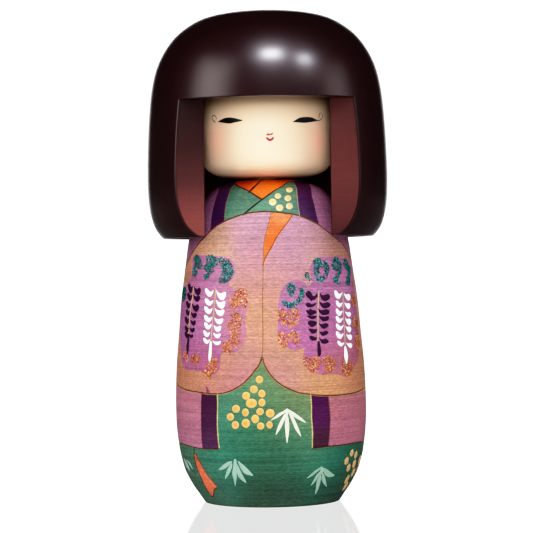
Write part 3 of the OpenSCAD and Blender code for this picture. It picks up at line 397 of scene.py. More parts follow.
def body_point(us, depth):
    """Points on the turned body, depth mm under (or, negative, above) its surface, with the surface normals."""
    us = np.asarray(us, float)
    th = us[:, 0] / BODY_R
    s = us[:, 1]
    r, z = np.interp(s, arc, curve[:, 0]), np.interp(s, arc, curve[:, 1])
    nr, nz = np.interp(s, arc, nr_t), np.interp(s, arc, nz_t)
    n2 = np.hypot(nr, nz)
    nr, nz = nr / n2, nz / n2
    ease = np.clip(np.minimum(s, S_TOP - s) / 1.5, 0, 1)
    d = depth + INSET * ease
    rr, zz = r - d * nr, np.clip(z - d * nz, 0, BODY_H)
    ct = np.maximum(np.abs(np.cos(th)), 1e-3)
    st = np.maximum(np.abs(np.sin(th)), 1e-3)
    rr = np.minimum(rr, np.minimum((BODY_R - 0.01) / ct, (BODY_R - 0.01) / st))
    co = np.stack([rr * np.sin(th), -rr * np.cos(th), zz], 1)
    no = np.stack([nr * np.sin(th), -nr * np.cos(th), nz], 1)
    return co, no


def make_object(name, co, faces, material=None, smooth_shade=True, normals=None, colours=None, extra=None):
    me = bpy.data.meshes.new(name)
    me.from_pydata((np.asarray(co, float) * MM).tolist(), [], [tuple(int(i) for i in f) for f in faces])
    me.polygons.foreach_set("use_smooth", [smooth_shade] * len(me.polygons))
    if colours is not None:
        loops = np.zeros(len(me.loops), np.int32)
        me.loops.foreach_get("vertex_index", loops)
        a = me.color_attributes.new("paint", "FLOAT_COLOR", "CORNER")
        c = np.asarray(colours, float)
        c = c if len(c) == len(me.loops) and len(c) != len(me.vertices) else c[loops]
        a.data.foreach_set("color", np.concatenate([c, np.ones((len(c), 1))], 1).ravel().astype(np.float32))
    n_loops = len(me.loops)
    me.validate()
    assert len(me.loops) == n_loops, name
    if normals is not None:
        me.normals_split_custom_set([tuple(n) for n in normals])
    if material is not None:
        me.materials.append(material)
    o = bpy.data.objects.new(name, me)
    bpy.context.scene.collection.objects.link(o)
    return o


# ------------------------------------------------------------------ materials
def new_mat(name, **values):
    m = bpy.data.materials.new(name)
    m.use_nodes = True
    b = m.node_tree.nodes["Principled BSDF"]
    for k, v in values.items():
        key = {"spec": "Specular IOR Level", "coat": "Coat Weight", "coat_rough": "Coat Roughness",
               "rough": "Roughness", "base": "Base Color", "metal": "Metallic"}[k]
        b.inputs[key].default_value = v
    return m, m.node_tree, b


def node(t, kind, **props):
    n = t.nodes.new(kind)
    for k, v in props.items():
        setattr(n, k, v)
    return n


def grain_material(name, strength, bump, rough, coat, coat_rough=0.22, spec=0.5, zscale=2.6, attr=True, base=None,
                   blotch=0.0, rings=0.85, speckle=0.3):
    """Painted turned wood: the colour comes from the mesh, with fine lathe lines round the axis."""
    m, t, b = new_mat(name, rough=rough, coat=coat, coat_rough=coat_rough, spec=spec)
    geo = node(t, "ShaderNodeTexCoord")
    mp = node(t, "ShaderNodeMapping")
    mp.inputs["Scale"].default_value = (900.0, 900.0, 3000.0)
    t.links.new(geo.outputs["Object"], mp.inputs["Vector"])
    no = node(t, "ShaderNodeTexNoise")
    no.inputs["Scale"].default_value = 1.0
    no.inputs["Detail"].default_value = 2.0
    no.inputs["Roughness"].default_value = 0.6
    t.links.new(mp.outputs["Vector"], no.inputs["Vector"])
    ramp = node(t, "ShaderNodeMapRange")
    ramp.inputs["From Min"].default_value = 0.28
    ramp.inputs["From Max"].default_value = 0.72
    ramp.inputs["To Min"].default_value = 1.0 - strength
    ramp.inputs["To Max"].default_value = 1.0 + strength
    t.links.new(no.outputs["Fac"], ramp.inputs["Value"])
    mp2 = node(t, "ShaderNodeMapping")
    mp2.inputs["Scale"].default_value = (12.0, 12.0, 2300.0)
    t.links.new(geo.outputs["Object"], mp2.inputs["Vector"])
    no2 = node(t, "ShaderNodeTexNoise")
    no2.inputs["Scale"].default_value = 1.0
    no2.inputs["Detail"].default_value = 2.0
    no2.inputs["Roughness"].default_value = 0.7
    t.links.new(mp2.outputs["Vector"], no2.inputs["Vector"])
    ramp2 = node(t, "ShaderNodeMapRange")
    ramp2.inputs["From Min"].default_value = 0.25
    ramp2.inputs["From Max"].default_value = 0.75
    ramp2.inputs["To Min"].default_value = 1.0 - strength * rings
    ramp2.inputs["To Max"].default_value = 1.0 + strength * rings
    t.links.new(no2.outputs["Fac"], ramp2.inputs["Value"])
    both = node(t, "ShaderNodeMath", operation="MULTIPLY")
    t.links.new(ramp.outputs["Result"], both.inputs[0])
    t.links.new(ramp2.outputs["Result"], both.inputs[1])
    mul = node(t, "ShaderNodeVectorMath", operation="SCALE")
    if attr:
        a = node(t, "ShaderNodeAttribute", attribute_name="paint")
        t.links.new(a.outputs["Color"], mul.inputs[0])
    else:
        mul.inputs[0].default_value = base
    t.links.new(both.outputs[0], mul.inputs["Scale"])
    # the dye takes unevenly in the pores: a faint colour speckle
    tint = node(t, "ShaderNodeVectorMath", operation="MULTIPLY_ADD")
    t.links.new(no.outputs["Color"], tint.inputs[0])
    tint.inputs[1].default_value = (speckle, speckle, speckle * 1.3)
    tint.inputs[2].default_value = (1 - speckle / 2, 1 - speckle / 2, 1 - speckle * 0.65)
    dyed = node(t, "ShaderNodeVectorMath", operation="MULTIPLY")
    t.links.new(mul.outputs["Vector"], dyed.inputs[0])
    t.links.new(tint.outputs["Vector"], dyed.inputs[1])
    t.links.new(dyed.outputs["Vector"], b.inputs["Base Color"])
    if bump:
        bp = node(t, "ShaderNodeBump")
        bp.inputs["Strength"].default_value = bump
        bp.inputs["Distance"].default_value = 0.0002
        t.links.new(no.outputs["Fac"], bp.inputs["Height"])
        t.links.new(bp.outputs["Normal"], b.inputs["Normal"])
    return m


def paint_material(name, rough, coat, coat_rough=0.15, spec=0.5, metal=0.0):
    m, t, b = new_mat(name, rough=rough, coat=coat, coat_rough=coat_rough, spec=spec, metal=metal)
    a = node(t, "ShaderNodeAttribute", attribute_name="paint")
    t.links.new(a.outputs["Color"], b.inputs["Base Color"])
    return m


mat_kimono = grain_material("kimono_paint", 0.31, 0.25, 0.5, 0.0, spec=0.16)
mat_dab = paint_material("raised_paint", 0.45, 0.0, spec=0.2)
mat_glitter = paint_material("glitter", 0.3, 0.0, spec=0.5, metal=0.3)
mat_face = paint_material("face_paint", 0.42, 0.0, spec=0.3)

# ------------------------------------------------------------------ kimono: lines, regions, colours
U0, U1 = -72.0, -72.0 + 2 * math.pi * BODY_R
P = PATTERN
END = 2 * math.pi * BODY_R


def line(points, n=6):
    return resample(smooth(points, n), 0.6)


sleeve = np.vstack([smooth(P["sleeve"][:51], 5), smooth(P["sleeve"][50:] + P["sleeve"][:1], 5)[:-1]])
sleeve_loop = np.vstack([sleeve, sleeve[:1]])
seam = smooth(P["seam"], 5)
lining_r = smooth(P["lining_r"], 5)
v_left_front = P["v_left"]
v_right_front = P["v_right"]

hem_l = P["hem_l"] + [(-47.0, 18.9), (-55.0, 18.9), (-64.0, 18.8), (U0, 18.8)]
hem_r = P["hem_r"] + [(52.0, 18.5), (62.0, 18.7), (80.0, 18.8), (100.0, 18.8), (U1, 18.8)]
neck_in = [(-41.26, 101.41), (-52.0, 101.45), (-62.0, 101.45), (U0, 101.45)]
neck_in_r = [(14.52, 100.62), (30.0, 101.1), (44.0, 101.4), (60.0, 101.45), (90.0, 101.45), (U1, 101.45)]

GROOVES = []                              # (points in (u, s), width, depth, (line colour, colour of the wall facing the light))


def groove(points, width=0.5, depth=0.26, n=6, already=False, colours=((84, 50, 26), (186, 134, 78))):
    p = np.asarray(points, float) if already else smooth(points, n)
    p = resample(to_s(p), 0.55)
    GROOVES.append((p, width, depth, colours))
    return p


groove(sleeve_loop, 0.60, 0.24, already=True, colours=((104, 56, 28), (214, 170, 104)))
groove(seam, 0.42, 0.12, already=True, colours=((160, 106, 62), (206, 160, 108)))
groove(lining_r, 0.42, 0.16, already=True, colours=((150, 66, 24), (236, 160, 90)))
BROWN, TAN = (84, 50, 26), (186, 134, 78)
v_left = [(U0, 101.4), (-60.0, 101.4), (-50.0, 101.35), (-40.0, 101.15), (-31.0, 100.85), (-24.97, 100.3), (-17.5, 99.25), (-10.14, 97.78), (-2.81, 95.01)]
v_right = [(U1, 101.4), (90.0, 101.4), (60.0, 101.4), (44.0, 101.35), (33.0, 101.2), (24.5, 100.95), (17.5, 100.75), (13.5, 100.3), (8.6, 99.2), (3.55, 97.75), (-2.23, 95.1), (-7.18, 92.29), (-10.2, 90.2)]
band_ul_l = [(U0, 100.6), (-55.0, 100.6), (-46.0, 100.35), (-38.0, 99.5), (-32.4, 98.4), (-29.4, 96.8), (-27.3, 93.92), (-25.87, 90.15), (-24.64, 86.0)]
band_ul_r = [(-26.0, 100.45), (-23.6, 99.6), (-21.3, 98.0), (-20.18, 95.7), (-19.41, 93.12), (-18.69, 90.46), (-18.2, 88.1)]
band_ur_l = [(22.0, 100.9), (19.4, 100.4), (17.0, 99.2), (15.4, 97.6), (14.37, 96.17), (13.27, 93.32), (12.9, 89.6)]
band_ur_r = [(U1, 100.6), (60.0, 100.6), (48.0, 100.6), (38.0, 100.25), (32.0, 99.75), (28.2, 98.9), (24.8, 97.4), (22.6, 95.2), (21.4, 91.45), (21.1, 86.7)]
groove(v_left, 0.64, 0.30, colours=((38, 22, 18), (70, 44, 30)))
groove(v_right, 0.64, 0.30, colours=((50, 32, 26), (120, 88, 62)))
groove(P["slit"], 1.5, 0.6, colours=((12, 7, 7), (22, 11, 9)))
groove(band_ul_l, 0.36, 0.12, colours=((52, 22, 50), (150, 100, 130)))
groove(band_ul_r, 0.36, 0.14, colours=((120, 90, 56), (170, 130, 84)))
groove(band_ur_l, 0.40, 0.14, colours=((196, 168, 160), (150, 120, 110)))
groove(band_ur_r, 0.36, 0.12, colours=((150, 100, 130), (120, 76, 108)))
groove(P["band_ll_l"], 0.30, 0.10, colours=((70, 26, 50), (110, 52, 80)))
groove(P["band_lr_r"], 0.36, 0.14, colours=((100, 52, 56), (176, 120, 92)))
groove(P["gold_l"], 0.42, 0.12, colours=((206, 196, 130), (206, 196, 136)))
groove(P["gold_r"], 0.42, 0.12, colours=((210, 190, 120), (206, 190, 126)))
groove(hem_l, 0.46, 0.20, colours=((70, 56, 34), (120, 110, 72)))
groove(hem_r, 0.46, 0.20, colours=((70, 52, 32), (120, 104, 66)))
groove(P["flap_l"], 0.46, 0.18, colours=((52, 30, 22), (120, 60, 34)))
groove(P["flap_r"], 0.40, 0.16, colours=((64, 34, 24), (140, 70, 36)))
groove([(-47.6, 36.7), (-56.0, 36.6), (-66.0, 37.2), (U0, 37.6)], 0.4, 0.16, colours=(BROWN, TAN))
groove([(52.0, 36.6), (62.0, 37.0), (80.0, 37.6), (U1, 37.6)], 0.4, 0.16, colours=(BROWN, TAN))


g_pts = [g[0] for g in GROOVES]

# painted borders with no cut line
patch_l = resample(to_s(smooth(P["patch_l"], 4, True)), 0.6, True)
patch_r = resample(to_s(smooth(P["patch_r"], 4, True)), 0.6, True)
BACK_SHIFT = END / 2
PATCH_BACK = [(-17, 75), (-10, 77.5), (-1, 77), (8, 77.6), (16, 76), (20, 71), (19, 64), (21, 58), (20, 50), (16, 45.5),
              (9, 44), (3, 45), (-3, 42.5), (-9, 43.5), (-13, 46.5), (-18, 50), (-20, 57), (-18.5, 64), (-20.5, 70)]
patch_b = resample(to_s(smooth([(u + BACK_SHIFT, z) for u, z in PATCH_BACK], 4, True)), 0.6, True)
sliver = resample(to_s(P["sliver"]), 0.5, True)
R_NAMES = ["coat", "orange", "dark_l", "dark_r", "green_l", "green_r", "dark_ll", "dark_lr", "panel", "skirt", "flap",
           "sleeve", "lining", "patch", "sliver"]
RI = {k: i for i, k in enumerate(R_NAMES)}


def sm(p):
    return to_s(smooth(p, 6))


def regions(cen):
    out = np.zeros(len(cen), int)
    V = (-2.5, 95.05)
    vl, vr = sm(v_left), sm(v_right[:11])
    vr_low = to_s(v_right[10:])
    corner = to_s([(U1 + 1, BODY_H), (U0 - 1, BODY_H)])
    polys = [("orange", np.vstack([vl, vr[::-1], corner]))]
    polys.append(("dark_l", np.vstack([vl[:6 * 4 + 3], sm(band_ul_r), to_s([(-18.0, 85.0), (-24.4, 83.0)]), sm(band_ul_l)[::-1]])))
    polys.append(("dark_r", np.vstack([vr[:6 * 5 + 3], sm(band_ur_l), to_s([(12.9, 86.0), (21.1, 84.0)]), sm(band_ur_r)[::-1]])))
    polys.append(("green_l", np.vstack([sm(band_ul_r), to_s([(-18.2, 86.0), (-10.2, 88.0)]), vr_low[::-1], sm(v_left[4:])[::-1]])))
    polys.append(("green_r", np.vstack([vr_low[::-1][::-1], to_s([(-10.2, 88.0), (12.9, 87.0)]), sm(band_ur_l)[::-1],
                                        sm(v_right[5:11])])))
    ll, lr_ = sm(P["band_ll_l"]), sm(P["band_ll_r"])
    polys.append(("dark_ll", np.vstack([to_s([(-24.0, 38.0)]), ll, sm(P["gold_l"])[::-1], to_s([(-17.5, 38.0)])])))
    polys.append(("dark_lr", np.vstack([to_s([(13.0, 38.0)]), sm(P["gold_r"]), sm(P["band_lr_r"])[::-1], to_s([(18.8, 38.0)])])))
    polys.append(("panel", np.vstack([to_s([(-17.4, 40.0)]), sm(P["gold_l"]), sm(P["gold_r"])[::-1], to_s([(12.5, 40.0), (-2.5, 48.0)])])))
    polys.append(("skirt", np.vstack([sm(hem_l)[::-1], sm(hem_r), [[U1 + 1, -1], [U0 - 1, -1]]])))
    polys.append(("flap", np.vstack([sm(P["flap_l"]), sm(P["flap_r"])[::-1]])))
    polys.append(("sleeve", to_s(sleeve)))
    se = to_s(seam)
    lr2 = to_s(lining_r)
    k = int(np.argmin(np.hypot(*(se - lr2[-1]).T)))
    polys.append(("lining", np.vstack([se[:k + 1], lr2[::-1]])))
    for name, poly in polys:
        out[inside(poly, cen)] = RI[name]
    sl = out == RI["sleeve"]
    pm = inside(patch_l, cen) | inside(patch_r, cen)
    out[pm & sl] = RI["patch"]
    out[inside(patch_b, cen)] = RI["patch"]
    out[inside(sliver, cen)] = RI["sliver"]
    return out


ALBEDO = 0.68                               # dye strength under studio light

# airbrush stops: (u, z, colour)
T_COAT = [
    (-32, 92, (156, 97, 129)), (29, 92, (173, 110, 143)), (-44, 90, (144, 91, 120)), (44, 90, (154, 95, 126)),
    (95, 90, (179, 114, 141)), (-34, 35, (189, 116, 118)), (-34, 28, (177, 109, 129)), (-32, 21, (177, 113, 146)),
    (32, 33, (191, 116, 112)), (32, 27, (177, 105, 124)), (32, 20, (171, 99, 128)), (95, 30, (181, 110, 131)),
    (95, 60, (206, 143, 137)), (95, 84, (193, 133, 158)), (-66, 60, (206, 141, 129)), (68, 60, (206, 141, 129))]
T_SLEEVE = [
    (-8, 86, (197, 146, 164)), (8, 85, (193, 140, 160)), (17, 85, (196, 145, 162)), (-27, 80, (210, 152, 118)),
    (-19, 80, (215, 162, 138)), (-4, 78, (195, 136, 147)), (5, 78, (192, 136, 152)), (20, 78, (204, 146, 138)),
    (28, 78, (192, 134, 120)), (36, 76, (185, 121, 99)), (-38, 75, (187, 124, 99)), (-1, 70, (207, 145, 133)),
    (-4, 58, (212, 151, 120)), (1, 57, (205, 143, 118)), (-6, 49, (205, 143, 126)), (4, 49, (213, 153, 120)),
    (-7, 43, (193, 128, 129)), (-17, 45, (204, 142, 108)), (-25, 41, (200, 137, 97)), (-34, 39, (187, 121, 94)),
    (-13, 38, (187, 116, 125)), (-22, 37, (193, 126, 113)), (3, 42, (196, 132, 129)), (7, 38.5, (195, 136, 127)),
    (15, 41, (216, 155, 109)), (24, 38, (207, 140, 106)), (34, 38, (189, 124, 90)), (17, 36, (214, 152, 102)),
    (-50, 60, (195, 130, 109)), (50, 60, (195, 130, 109))]
# the green darkens towards the base: partly the dye's own airbrushing, partly painted shade where the skirt turns under
T_GREEN = [
    (-11, 35, (86, 142, 115)), (-3, 38, (88, 131, 93)), (-2.5, 43, (133, 144, 96)), (4, 36, (101, 139, 98)),
    (10, 34, (158, 152, 96)), (-14, 29, (73, 131, 107)), (0, 31, (61, 112, 78)), (10, 30, (116, 140, 102)),
    (-7, 25, (56, 109, 79)), (4, 25, (58, 111, 81)), (12, 25, (78, 131, 102)), (-14, 21, (46, 120, 96)),
    (0, 20, (48, 98, 74)), (11, 20, (52, 122, 96)), (-34, 14, (75, 111, 87)), (-22, 14, (58, 122, 102)),
    (0, 14, (48, 96, 74)), (25, 14, (37, 112, 91)), (42, 14, (61, 96, 74)), (0, 8.5, (52, 81, 63)),
    (-28, 7, (71, 99, 83)), (28, 8, (48, 81, 64)), (0, 1.5, (60, 79, 66)), (30, 1.5, (54, 70, 61)),
    (95, 14, (46, 101, 79)), (95, 3, (52, 77, 63))]
T_PATCH = [
    (-40, 70, (168, 100, 138)), (-26, 72, (179, 109, 151)), (-16, 72, (191, 128, 161)), (-38, 54, (164, 96, 144)),
    (-22, 56, (179, 113, 159)), (-11, 60, (193, 124, 140)), (-24, 44, (174, 95, 128)), (8, 66, (177, 117, 153)),
    (26, 70, (179, 111, 153)), (14, 57, (183, 108, 157)), (28, 56, (174, 100, 149)), (44, 58, (158, 91, 121)),
    (14, 48, (183, 106, 153)), (24, 43, (185, 108, 113)), (38, 42, (170, 87, 105)), (95, 60, (177, 106, 153))]


def shade_table(table, pts, sigma):
    out = np.zeros((len(pts), 3))
    for i in range(0, len(pts), 20000):
        out[i:i + 20000] = blend_colours(table, pts[i:i + 20000], sigma)
    return out


def paint_colour(us, reg):
    uz = np.stack([us[:, 0], z_of(us[:, 1])], 1)
    c = np.zeros((len(us), 3))
    for name in R_NAMES:
        m = reg == RI[name]
        if not m.any():
            continue
        p = uz[m]
        if name == "coat":
            k = shade_table(T_COAT, p, 10.0)
        elif name == "sleeve":
            k = shade_table(T_SLEEVE, p, 5.0)
        elif name in ("panel", "skirt"):
            k = shade_table(T_GREEN, p, 6.5)
        elif name == "patch":
            k = shade_table(T_PATCH, p, 6.0)
        elif name == "green_l":
            k = shade_table([(-20, 98, (69, 104, 86)), (-12, 95, (86, 123, 101)), (-14, 90, (102, 146, 121)), (-18, 92, (84, 129, 107))], p, 2.4)
        elif name == "green_r":
            k = shade_table([(12, 98, (94, 125, 94)), (6, 95, (94, 133, 109)), (0, 92.5, (94, 139, 113)), (10, 91, (90, 131, 111))], p, 2.4)
        elif name == "orange":
            k = shade_table([(-15, 100, (210, 67, 13)), (-5, 98, (240, 104, 24)), (2, 99, (246, 108, 19)), (12, 101, (228, 81, 7)), (-3, 96, (248, 123, 42)), (60, 101.5, (222, 81, 15)), (-60, 101.5, (222, 81, 15)), (95, 101.5, (222, 81, 15))], p, 2.5)
        elif name == "lining":
            k = shade_table([(4, 90, (244, 137, 80)), (1, 87, (242, 112, 51)), (3, 85, (240, 110, 38)), (0, 81, (240, 106, 36)), (-1.5, 77, (234, 123, 59))], p, 1.8)
        elif name == "flap":
            k = shade_table([(-28.4, 15, (192, 100, 67)), (-28.6, 11, (228, 113, 80)), (-26, 8, (236, 117, 82)), (-26, 4, (218, 108, 74))], p, 1.8)
        elif name == "sliver":
            k = np.repeat(lin((152, 66, 96))[None], len(p), 0)
        elif name == "dark_l":
            k = np.repeat(lin((66, 22, 68))[None], len(p), 0) * (1 + 0.12 * vnoise(p, 4, 3.0))[:, None]
        elif name == "dark_r":
            k = shade_table([(18, 99, (71, 19, 63)), (18, 94, (73, 34, 74)), (18, 88, (76, 40, 80))], p, 2.2)
        else:
            k = shade_table([(-21, 35, (65, 23, 57)), (-21, 28, (69, 28, 61)), (-21, 21, (82, 44, 76)), (16, 34, (76, 19, 71)), (16, 28, (82, 28, 76)), (16, 20, (73, 36, 55))], p, 2.6)
        c[m] = k
    # soft dye blotches, mostly along the lathe direction
    n1 = round_noise(uz, 0.35, 11, 1.1)
    n2 = round_noise(uz, 1.0, 12, 1.7)
    n3 = round_noise(uz, 0.5, 13, 5.5)
    amt = np.where(np.isin(reg, [RI["panel"], RI["skirt"]]), 0.055, 0.03)
    c *= (1 + amt * n1 + amt * 0.9 * n2 + 0.02 * n3)[:, None]
    ring = round_noise(uz, 0.02, 31, 0.42) + 0.6 * round_noise(uz, 0.04, 32, 0.9)
    c *= (1 + np.where(np.isin(reg, [RI["panel"], RI["skirt"], RI["green_l"], RI["green_r"]]), 0.13, 0.035) * ring)[:, None]
    hue = np.stack([round_noise(uz, 1.0, 14, 2.4), round_noise(uz, 1.0, 15, 2.4), round_noise(uz, 1.0, 16, 2.4)], 1)
    c *= 1 + 0.025 * hue
    # painted shade in the gap under the chin: the rim of the seat is darkened almost to black
    c *= 1 - 0.9 * np.clip((uz[:, 1:2] - 101.3) / 0.35, 0, 1)
    return np.clip(c * ALBEDO, 0.001, 0.98)


def groove_colour(us, base):
    """Cut lines: the first colour at the bottom and, as painted shade, on the wall turned away from a fixed light
    direction; the second colour, tan like bare wood by default, as a painted highlight on the wall that faces it.
    """
    best = np.full(len(us), -1.0)
    out = base.copy()
    for p, w, d, (mid, rim) in GROOVES:
        lo, hi = p.min(0) - w, p.max(0) + w
        m = ((us >= lo) & (us <= hi)).all(1)
        if not m.any():
            continue
        q = us[m]
        dist = np.full(len(q), 1e3)
        off = np.zeros((len(q), 2))
        for a, b in zip(p[:-1], p[1:]):
            e = b - a
            t = np.clip(((q - a) @ e) / max(float(e @ e), 1e-12), 0, 1)
            r = q - (a + t[:, None] * e)
            dd = np.hypot(r[:, 0], r[:, 1])
            n = dd < dist
            dist[n] = dd[n]
            off[n] = r[n]
        k = 1 - dist / (w / 2)
        take = (k > best[m]) & (k > -0.02)
        idx = np.where(m)[0][take]
        kk = np.clip(k[take], 0, 1)[:, None]
        o = off[take]
        # painted light: how far each wall turns towards a fixed light direction
        lit = np.clip(0.5 + 0.5 * (o @ np.array([0.35, -0.94])) / (0.5 * w), 0, 1)[:, None]
        broken = 0.5 + 0.5 * vnoise(us[idx], 21, 1.3)[:, None]
        dark = lin(mid) * ALBEDO
        wall = dark * (1 - lit) + lin(rim) * ALBEDO * lit
        col = wall * (1 - kk) + dark * kk
        mixb = (1 - kk) * 0.3 * broken
        out[idx] = col * (1 - mixb) + base[idx] * mixb
        best[idx] = k[take]
    return out



# ------------------------------------------------------------------ body mesh
def build_body():
    pts, edges = [], []

    def chain(p, closed=False):
        i0 = len(pts)
        pts.extend([tuple(q) for q in p])
        edges.extend([(i0 + k, i0 + k + 1) for k in range(len(p) - 1)])
        if closed:
            edges.append((i0 + len(p) - 1, i0))

    def clip(p):
        q = np.array(p, float)
        q[:, 0] = np.clip(q[:, 0], U0, U1)
        q[:, 1] = np.clip(q[:, 1], 0.02, S_TOP - 0.02)
        return q

    # border of the unrolled surface
    ns = 112
    sv = np.linspace(0, S_TOP, ns + 1)
    nb = 190
    ub = np.linspace(U0, U1, nb + 1)
    rect = [(u, 0.0) for u in ub] + [(U1, s) for s in sv[1:]] + [(u, S_TOP) for u in ub[::-1][1:]] + [(U0, s) for s in sv[::-1][1:-1]]
    chain(np.array(rect), True)
    for p, w, d, _ in GROOVES:
        q = clip(p)
        t = np.gradient(q, axis=0)
        t /= np.maximum(np.hypot(t[:, 0], t[:, 1]), 1e-9)[:, None]
        t[(q[:, 0] < U0 + 1e-6) | (q[:, 0] > U1 - 1e-6)] = (1.0, 0.0)
        nrm = np.stack([-t[:, 1], t[:, 0]], 1)
        for k in (0.0, 0.5, -0.5):
            chain(clip(q + nrm * (w * k)))
    for p in (patch_l, patch_r, patch_b, sliver):
        chain(clip(p), True)
    fixed = np.array(pts)
    # filling points, row by row, about 0.9 mm apart on the real surface
    fill = []
    row, s = 0, 0.5
    while s < S_TOP - 0.3:
        r = float(np.interp(s, arc, curve[:, 0]))
        step = 0.95 * BODY_R / r
        n = int((U1 - U0) / step)
        off = 0.5 if row % 2 else 0.25
        fill += [(U0 + (k + off) * (U1 - U0) / n, s) for k in range(n)]
        row += 1
        s += 0.8
    fill = np.array(fill)
    dist = np.full(len(fill), 1e3)
    for p, w, d, _ in GROOVES:
        dist = np.minimum(dist, near(p, fill, 2.0) - w / 2)
    for p in (patch_l, patch_r, patch_b, sliver):
        dist = np.minimum(dist, near(p, fill, 2.0, True))
    fill = fill[(dist > 0.32) & (fill[:, 0] > U0 + 0.4) & (fill[:, 0] < U1 - 0.4)]
    allp = np.vstack([fixed, fill])
    vs, _, fs, *_ = delaunay_2d_cdt([Vector((float(a), float(b))) for a, b in allp], edges, [], 0, 1e-3)
    v = np.array([(q.x, q.y) for q in vs])
    f = np.array([tuple(q) for q in fs], int)
    a, b, c = v[f[:, 0]], v[f[:, 1]], v[f[:, 2]]
    area = (b[:, 0] - a[:, 0]) * (c[:, 1] - a[:, 1]) - (b[:, 1] - a[:, 1]) * (c[:, 0] - a[:, 0])
    f = f[np.abs(area) > 1e-7]
    area = area[np.abs(area) > 1e-7]
    f[area < 0] = f[area < 0][:, ::-1]
    # depth of the cut lines
    depth = np.zeros(len(v))
    for p, w, d, _ in GROOVES:
        dd = near(p, v, w)
        depth = np.maximum(depth, d * np.clip(1 - dd / (w / 2), 0, 1))
    depth[depth < 0.004] = 0
    cen = v[f].mean(1)
    gd = np.full(len(f), -1.0)
    for p, w, d, _ in GROOVES:
        dd = near(p, cen, w)
        gd = np.maximum(gd, 1 - dd / (w / 2))
    in_groove = gd > 0.02
    return v, f, depth, cen, in_groove


body_v, body_f, body_depth, body_cen, in_groove = build_body()
region = regions(body_cen)
corner_uv = body_v[body_f.ravel()]
corner_region = np.repeat(region, 3)
corner_col = paint_colour(corner_uv, corner_region)
gcol = groove_colour(corner_uv, corner_col)
gm = np.repeat(in_groove, 3)
corner_col[gm] = gcol[gm]

co, no = body_point(body_v, body_depth)
# weld the seam: each border point at U1 is the same as the one at U0
left = {round(float(s), 4): i for i, (u, s) in enumerate(body_v) if abs(u - U0) < 1e-4}
remap = np.arange(len(body_v))
for i, (u, s) in enumerate(body_v):
    if abs(u - U1) < 1e-4:
        k = min(left, key=lambda q: abs(q - s))
        assert abs(k - s) < 1e-3, (k, s)
        remap[i] = left[k]
faces = remap[body_f]
verts = list(map(tuple, co))
bot = [remap[i] for i in np.argsort(body_v[:, 0]) if body_v[i, 1] < 1e-4 and body_v[i, 0] < U1 - 1e-4]
top = [remap[i] for i in np.argsort(body_v[:, 0]) if body_v[i, 1] > S_TOP - 1e-4 and body_v[i, 0] < U1 - 1e-4]
face_list = [tuple(f) for f in faces]
loop_normals = [tuple(no[i]) for f in body_f for i in f]
face_geo = np.repeat(in_groove, 3)
vv = np.array(verts)
tri = vv[faces]
fn = np.cross(tri[:, 1] - tri[:, 0], tri[:, 2] - tri[:, 0])
fn /= np.maximum(np.linalg.norm(fn, axis=1), 1e-12)[:, None]
cols = list(map(tuple, corner_col))


def add_ring(r, z, ring_u):
    i0 = len(verts)
    for u in ring_u:
        t = u / BODY_R
        verts.append((r * math.sin(t), -r * math.cos(t), z))
    return list(range(i0, i0 + len(ring_u)))


def skirt(a, b, colour, normal_fn):
    """Quads between two rings with the same count, a then b."""
    n = len(a)
    for k in range(n):
        q = (a[k], a[(k + 1) % n], b[(k + 1) % n], b[k])
        face_list.append(q)
        for i in q:
            loop_normals.append(normal_fn(verts[i]))
            cols.append(colour)


def fan(ring, z, colour, normal, flip):
    i = len(verts)
    verts.append((0, 0, z))
    n = len(ring)
    for k in range(n):
        t = (ring[k], ring[(k + 1) % n], i) if not flip else (ring[(k + 1) % n], ring[k], i)
        face_list.append(t)
        for _ in range(3):
            loop_normals.append(normal)
            cols.append(colour)


wood = tuple(lin((214, 178, 132)))
top_u = [body_v[i, 0] for i in np.argsort(body_v[:, 0]) if body_v[i, 1] > S_TOP - 1e-4 and body_v[i, 0] < U1 - 1e-4]
seat_in = add_ring(BORE_R + 0.25, BODY_H, top_u)
skirt(top, seat_in, wood, lambda p: (0, 0, 1))
bore_top = add_ring(BORE_R, BODY_H - 0.25, top_u)
skirt(seat_in, bore_top, wood, lambda p: (0, 0, 1))
bore_bot = add_ring(BORE_R, BORE_Z, top_u)
skirt(bore_top, bore_bot, wood, lambda p: (-p[0] / BORE_R, -p[1] / BORE_R, 0))
fan(bore_bot, BORE_Z, wood, (0, 0, 1), False)
fan(bot, 0.0, wood, (0, 0, -1), True)
ln = np.array(loop_normals, float)
ng = len(faces) * 3
ln[:ng][face_geo] = np.repeat(fn, 3, axis=0)[face_geo]
body_obj = make_object("kimono_body", verts, face_list, mat_kimono, True, ln, np.array(cols))
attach(body_obj, "body")
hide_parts("body")


# ------------------------------------------------------------------ raised paint
class Soup:
    def __init__(self):
        self.v, self.f, self.c, self.n = [], [], [], 0

    def add(self, v, f, c):
        self.v.append(np.asarray(v, float))
        self.f.append(np.asarray(f, int) + self.n)
        self.c.append(np.asarray(c, float))
        self.n += len(v)

    def build(self, name, material, body, slot, smooth_shade=True):
        v, f, c = np.vstack(self.v), np.vstack(self.f), np.vstack(self.c)
        o = make_object(name, v, f, material, smooth_shade, None, c)
        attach(o, body)
        return o


def face_point(us, depth):
    us = np.asarray(us, float)
    th = us[:, 0] / FACE_R
    r = FACE_R - 0.03 - depth
    r = np.minimum(r, np.minimum((FACE_R - 0.003) / np.maximum(np.abs(np.cos(th)), 1e-3),
                                 (FACE_R - 0.003) / np.maximum(np.abs(np.sin(th)), 1e-3)))
    co = np.stack([r * np.sin(th), -r * np.cos(th), us[:, 1]], 1)
    return co, None


